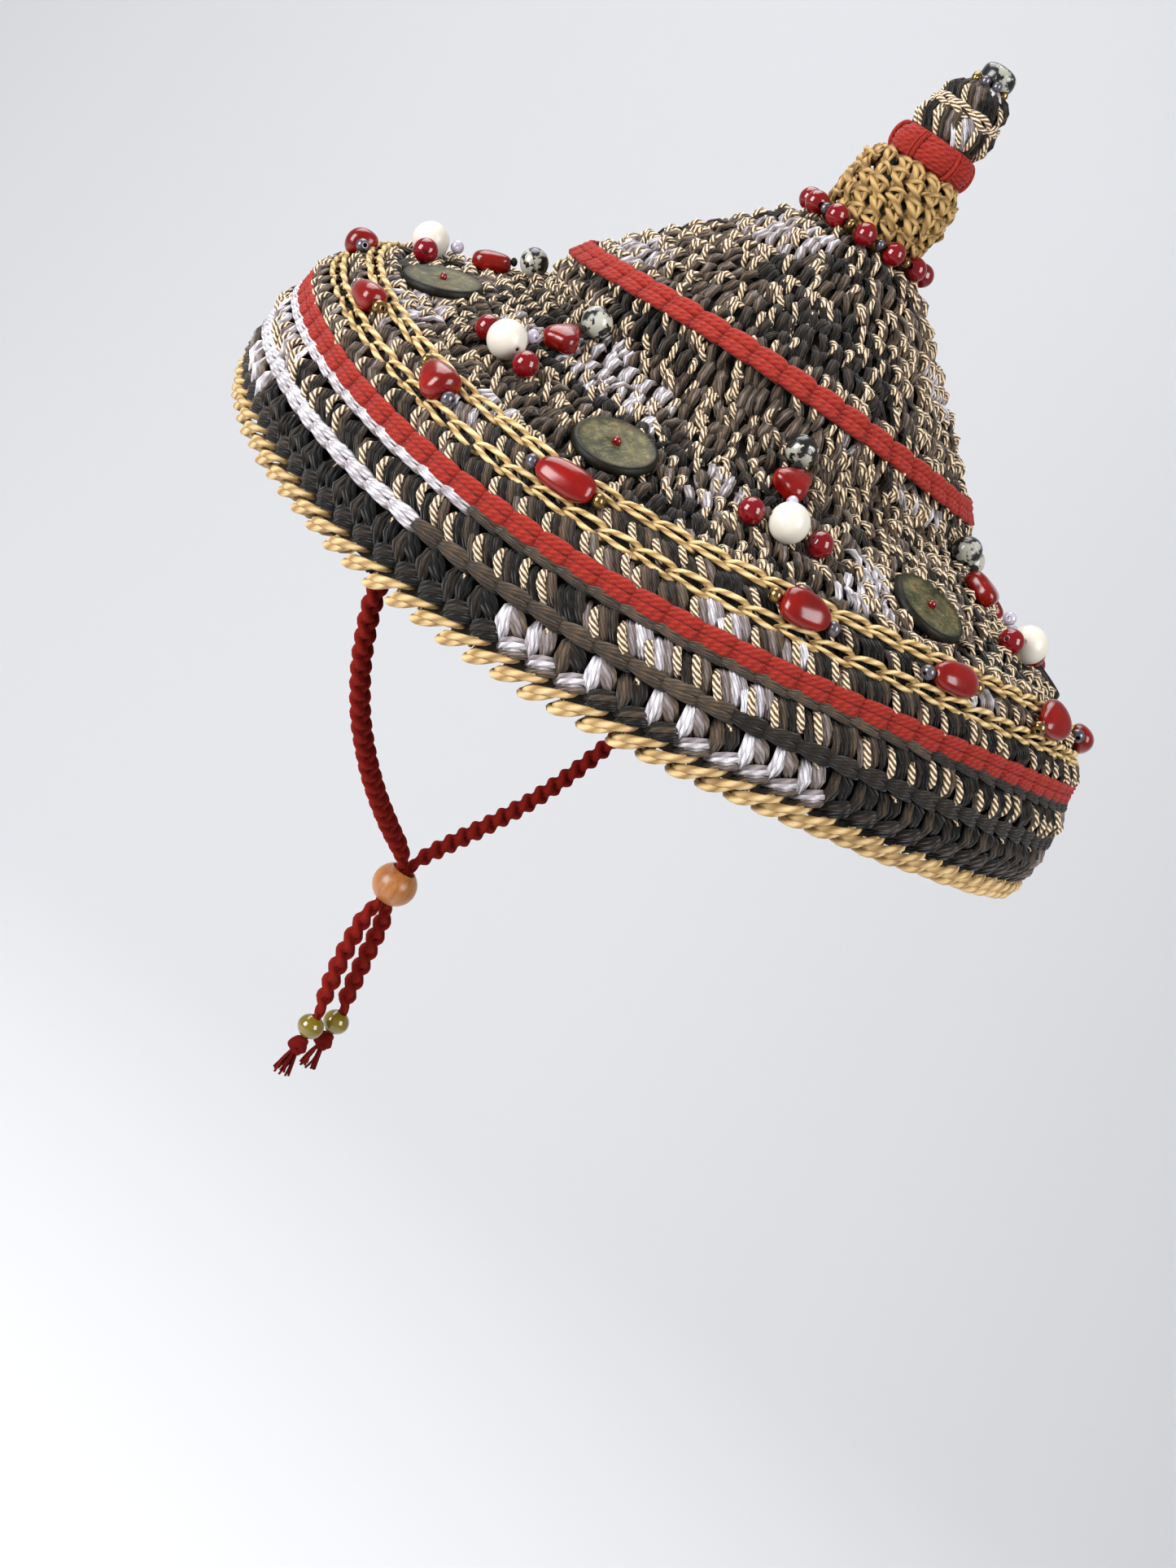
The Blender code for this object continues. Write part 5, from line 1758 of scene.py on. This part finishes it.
def disc_shape(index, centre, along, uphill, outward):
    """One turned disc with a slight warp; its UV is the distance from the middle."""
    section = (
        (11.9, 0.0), (12.5, 0.3), (12.8, 0.9), (12.75, 1.7), (12.4, 2.5), (11.9, 2.9),
        (11.2, 2.85), (10.4, 2.55), (5.0, 2.75), (1.9, 2.8), (1.5, 2.5),
    )
    hollow, clear = 2.45, 0.12
    sides = 56
    wave = np.random.default_rng(index).uniform(-0.12, 0.12, 3)
    points = []
    for radius, height in section:
        for k in range(sides):
            turn = TAU * k / sides
            edge = radius * (1.0 + 0.006 * math.sin(3.0 * turn + index))
            warp = wave[0] * math.sin(2.0 * turn + wave[1] * 20.0) * radius / 12.0
            flat = along * edge * math.cos(turn) + uphill * edge * math.sin(turn)
            points.append(centre + flat + outward * (height + warp + clear))
    low, top = len(points), len(points) + 1
    points.append(centre + outward * clear)
    points.append(centre + outward * (hollow + clear))
    faces = []
    rings = len(section)
    for k in range(sides):
        n = (k + 1) % sides
        faces.append((low, n, k))
        faces.append((top, (rings - 1) * sides + k, (rings - 1) * sides + n))
        for r in range(rings - 1):
            faces.append((r * sides + k, r * sides + n, (r + 1) * sides + n, (r + 1) * sides + k))
    middle = [math.hypot(*(point - centre).tolist()) for point in points]
    return np.array(points), faces, [[(middle[k], 0.0) for k in f] for f in faces]


def make_discs():
    """Thick mottled discs held down by a small red bead."""
    for index, degrees in enumerate(DISC_ANGLES, 1):
        centre, along, uphill, outward = brim_spot(DISC_SEAT, math.radians(degrees), DISC_LIFT)
        disc = Pieces()
        disc.add(*disc_shape(index, centre, along, uphill, outward))
        disc.add(*round_bead(centre + outward * 3.3, uphill, 1.45, 1.1, 0.35, 14, 8), slot=1)
        disc.build(f"mottled_disc_{index}", [DISC, RED_GLASS], "olive_disc", f"disc_{index}")


def make_round_string(index, angle, shift):
    """Red, white and red beads in a row; returns the white bead's middle."""
    across = Pieces()
    for turn, radius, slot in ((-RED_TURN, RED_BEAD, 0), (0.0, WHITE_BEAD, 1), (RED_TURN, RED_BEAD, 0)):
        centre, along, _, _ = brim_spot(WHITE_SEAT + shift, angle + turn, radius + 0.3)
        across.add(*round_bead(centre, along, radius, radius * 0.97, 0.55, 32, 16), slot=slot)
        across.add(*tube([centre - along * radius, centre + along * radius], 0.5, 0.5, 8), slot=2)
        if slot == 1:
            white = centre
    looks = [RED_GLASS, WHITE_STONE, HOLE]
    across.build(f"round_beads_{index}", looks, "mixed_beads", f"round_string_{index}")
    return white


def make_uphill_string(index, angle, shift, white):
    """A red chip and a spotted bead strung up the slope from the white bead."""
    up = Pieces()
    chip, along, uphill, outward = brim_spot(CHIP_SEAT + shift, angle, 4.1)
    axes = (outward, *spun(along, uphill, 0.6 * math.sin(index * 2.3)))
    up.add(*pebble(chip, axes, (3.4, 5.2, 6.1), 36, 14, 3.0, corners=0.15, turn=1.6, seed=index))
    spotted = brim_spot(SPOTTED_SEAT + shift * 0.5, angle, 5.5)[0]
    reach = (spotted - chip) / np.linalg.norm(spotted - chip)
    up.add(*round_bead(spotted, reach, SPOTTED_BEAD, 4.6, 0.5, 30, 16), slot=1)
    low = chip - uphill * 5.9
    seed_place = low * 0.62 + white * 0.38 + outward * 1.2
    up.add(*round_bead(seed_place, along + uphill * 0.2, 2.2, 1.7, 0.6, 16, 8), slot=3)
    up.add(*round_bead(low + uphill * 0.9 - outward * 0.4, uphill, 0.8, 0.7, 0.2, 10, 6), slot=2)
    between = (chip + reach * 5.9 + spotted - reach * SPOTTED_BEAD) / 2.0
    up.add(*round_bead(between, reach, 1.5, 1.1, 0.4, 12, 6), slot=2)
    look = SPOTTED_DARK if index in DARK_GROUPS else SPOTTED
    name = f"chip_and_spotted_bead_{index}"
    up.build(name, [RED_STONE, look, HOLE, CLEAR_SEED], "red_stone", f"uphill_string_{index}")


def make_strings():
    """Seven groups of strung beads round the brim."""
    for index, (degrees, shift) in enumerate(GROUPS, 1):
        angle = math.radians(degrees)
        white = make_round_string(index, angle, shift)
        make_uphill_string(index, angle, shift, white)


def make_stones():
    """Long tumbled stones between two small beads, laid along the upper straw chain."""
    for index, (degrees, length, width, thick, taper, turn) in enumerate(STONES, 1):
        rise = 4.1 + 0.9 * (width - 4.6)
        centre, along, uphill, outward = brim_spot(STONE_SEAT, math.radians(degrees), rise)
        one, two = spun(along, uphill, math.radians(turn))
        axes, halves = (one, two, outward), (length, width, thick)
        stone = Pieces()
        stone.add(*pebble(centre, axes, halves, 32, 20, 2.5, taper, 0.05, index, index))
        for end, slot in ((-1.0, 1 + index % 2), (1.0, 2 - index % 2)):
            spot = centre + one * (length + 1.7) * end - outward * 0.9
            stone.add(*round_bead(spot, one + uphill * 0.5, 2.3, 1.9, 0.75, 16, 8), slot=slot)
            stone.add(*tube([centre + one * (length - 0.4) * end, spot], 0.45, 0.45, 6), slot=3)
        looks = [RED_STONE, BRASS, GREY_SEED, HOLE]
        stone.build(f"tumbled_stone_{index}", looks, "red_stone", f"long_stone_{index}")


make_camera()
bpy.context.scene.view_settings.view_transform = "Standard"
make_world()
make_floor()
for light in LIGHTS:
    soft_light(*light)
make_cords()
make_cloth()
make_fields()
make_chains()
make_wall()
make_edging()
make_bead_ring()
make_collar()
make_band()
make_tip()
make_tip_bead()
make_discs()
make_strings()
make_stones()
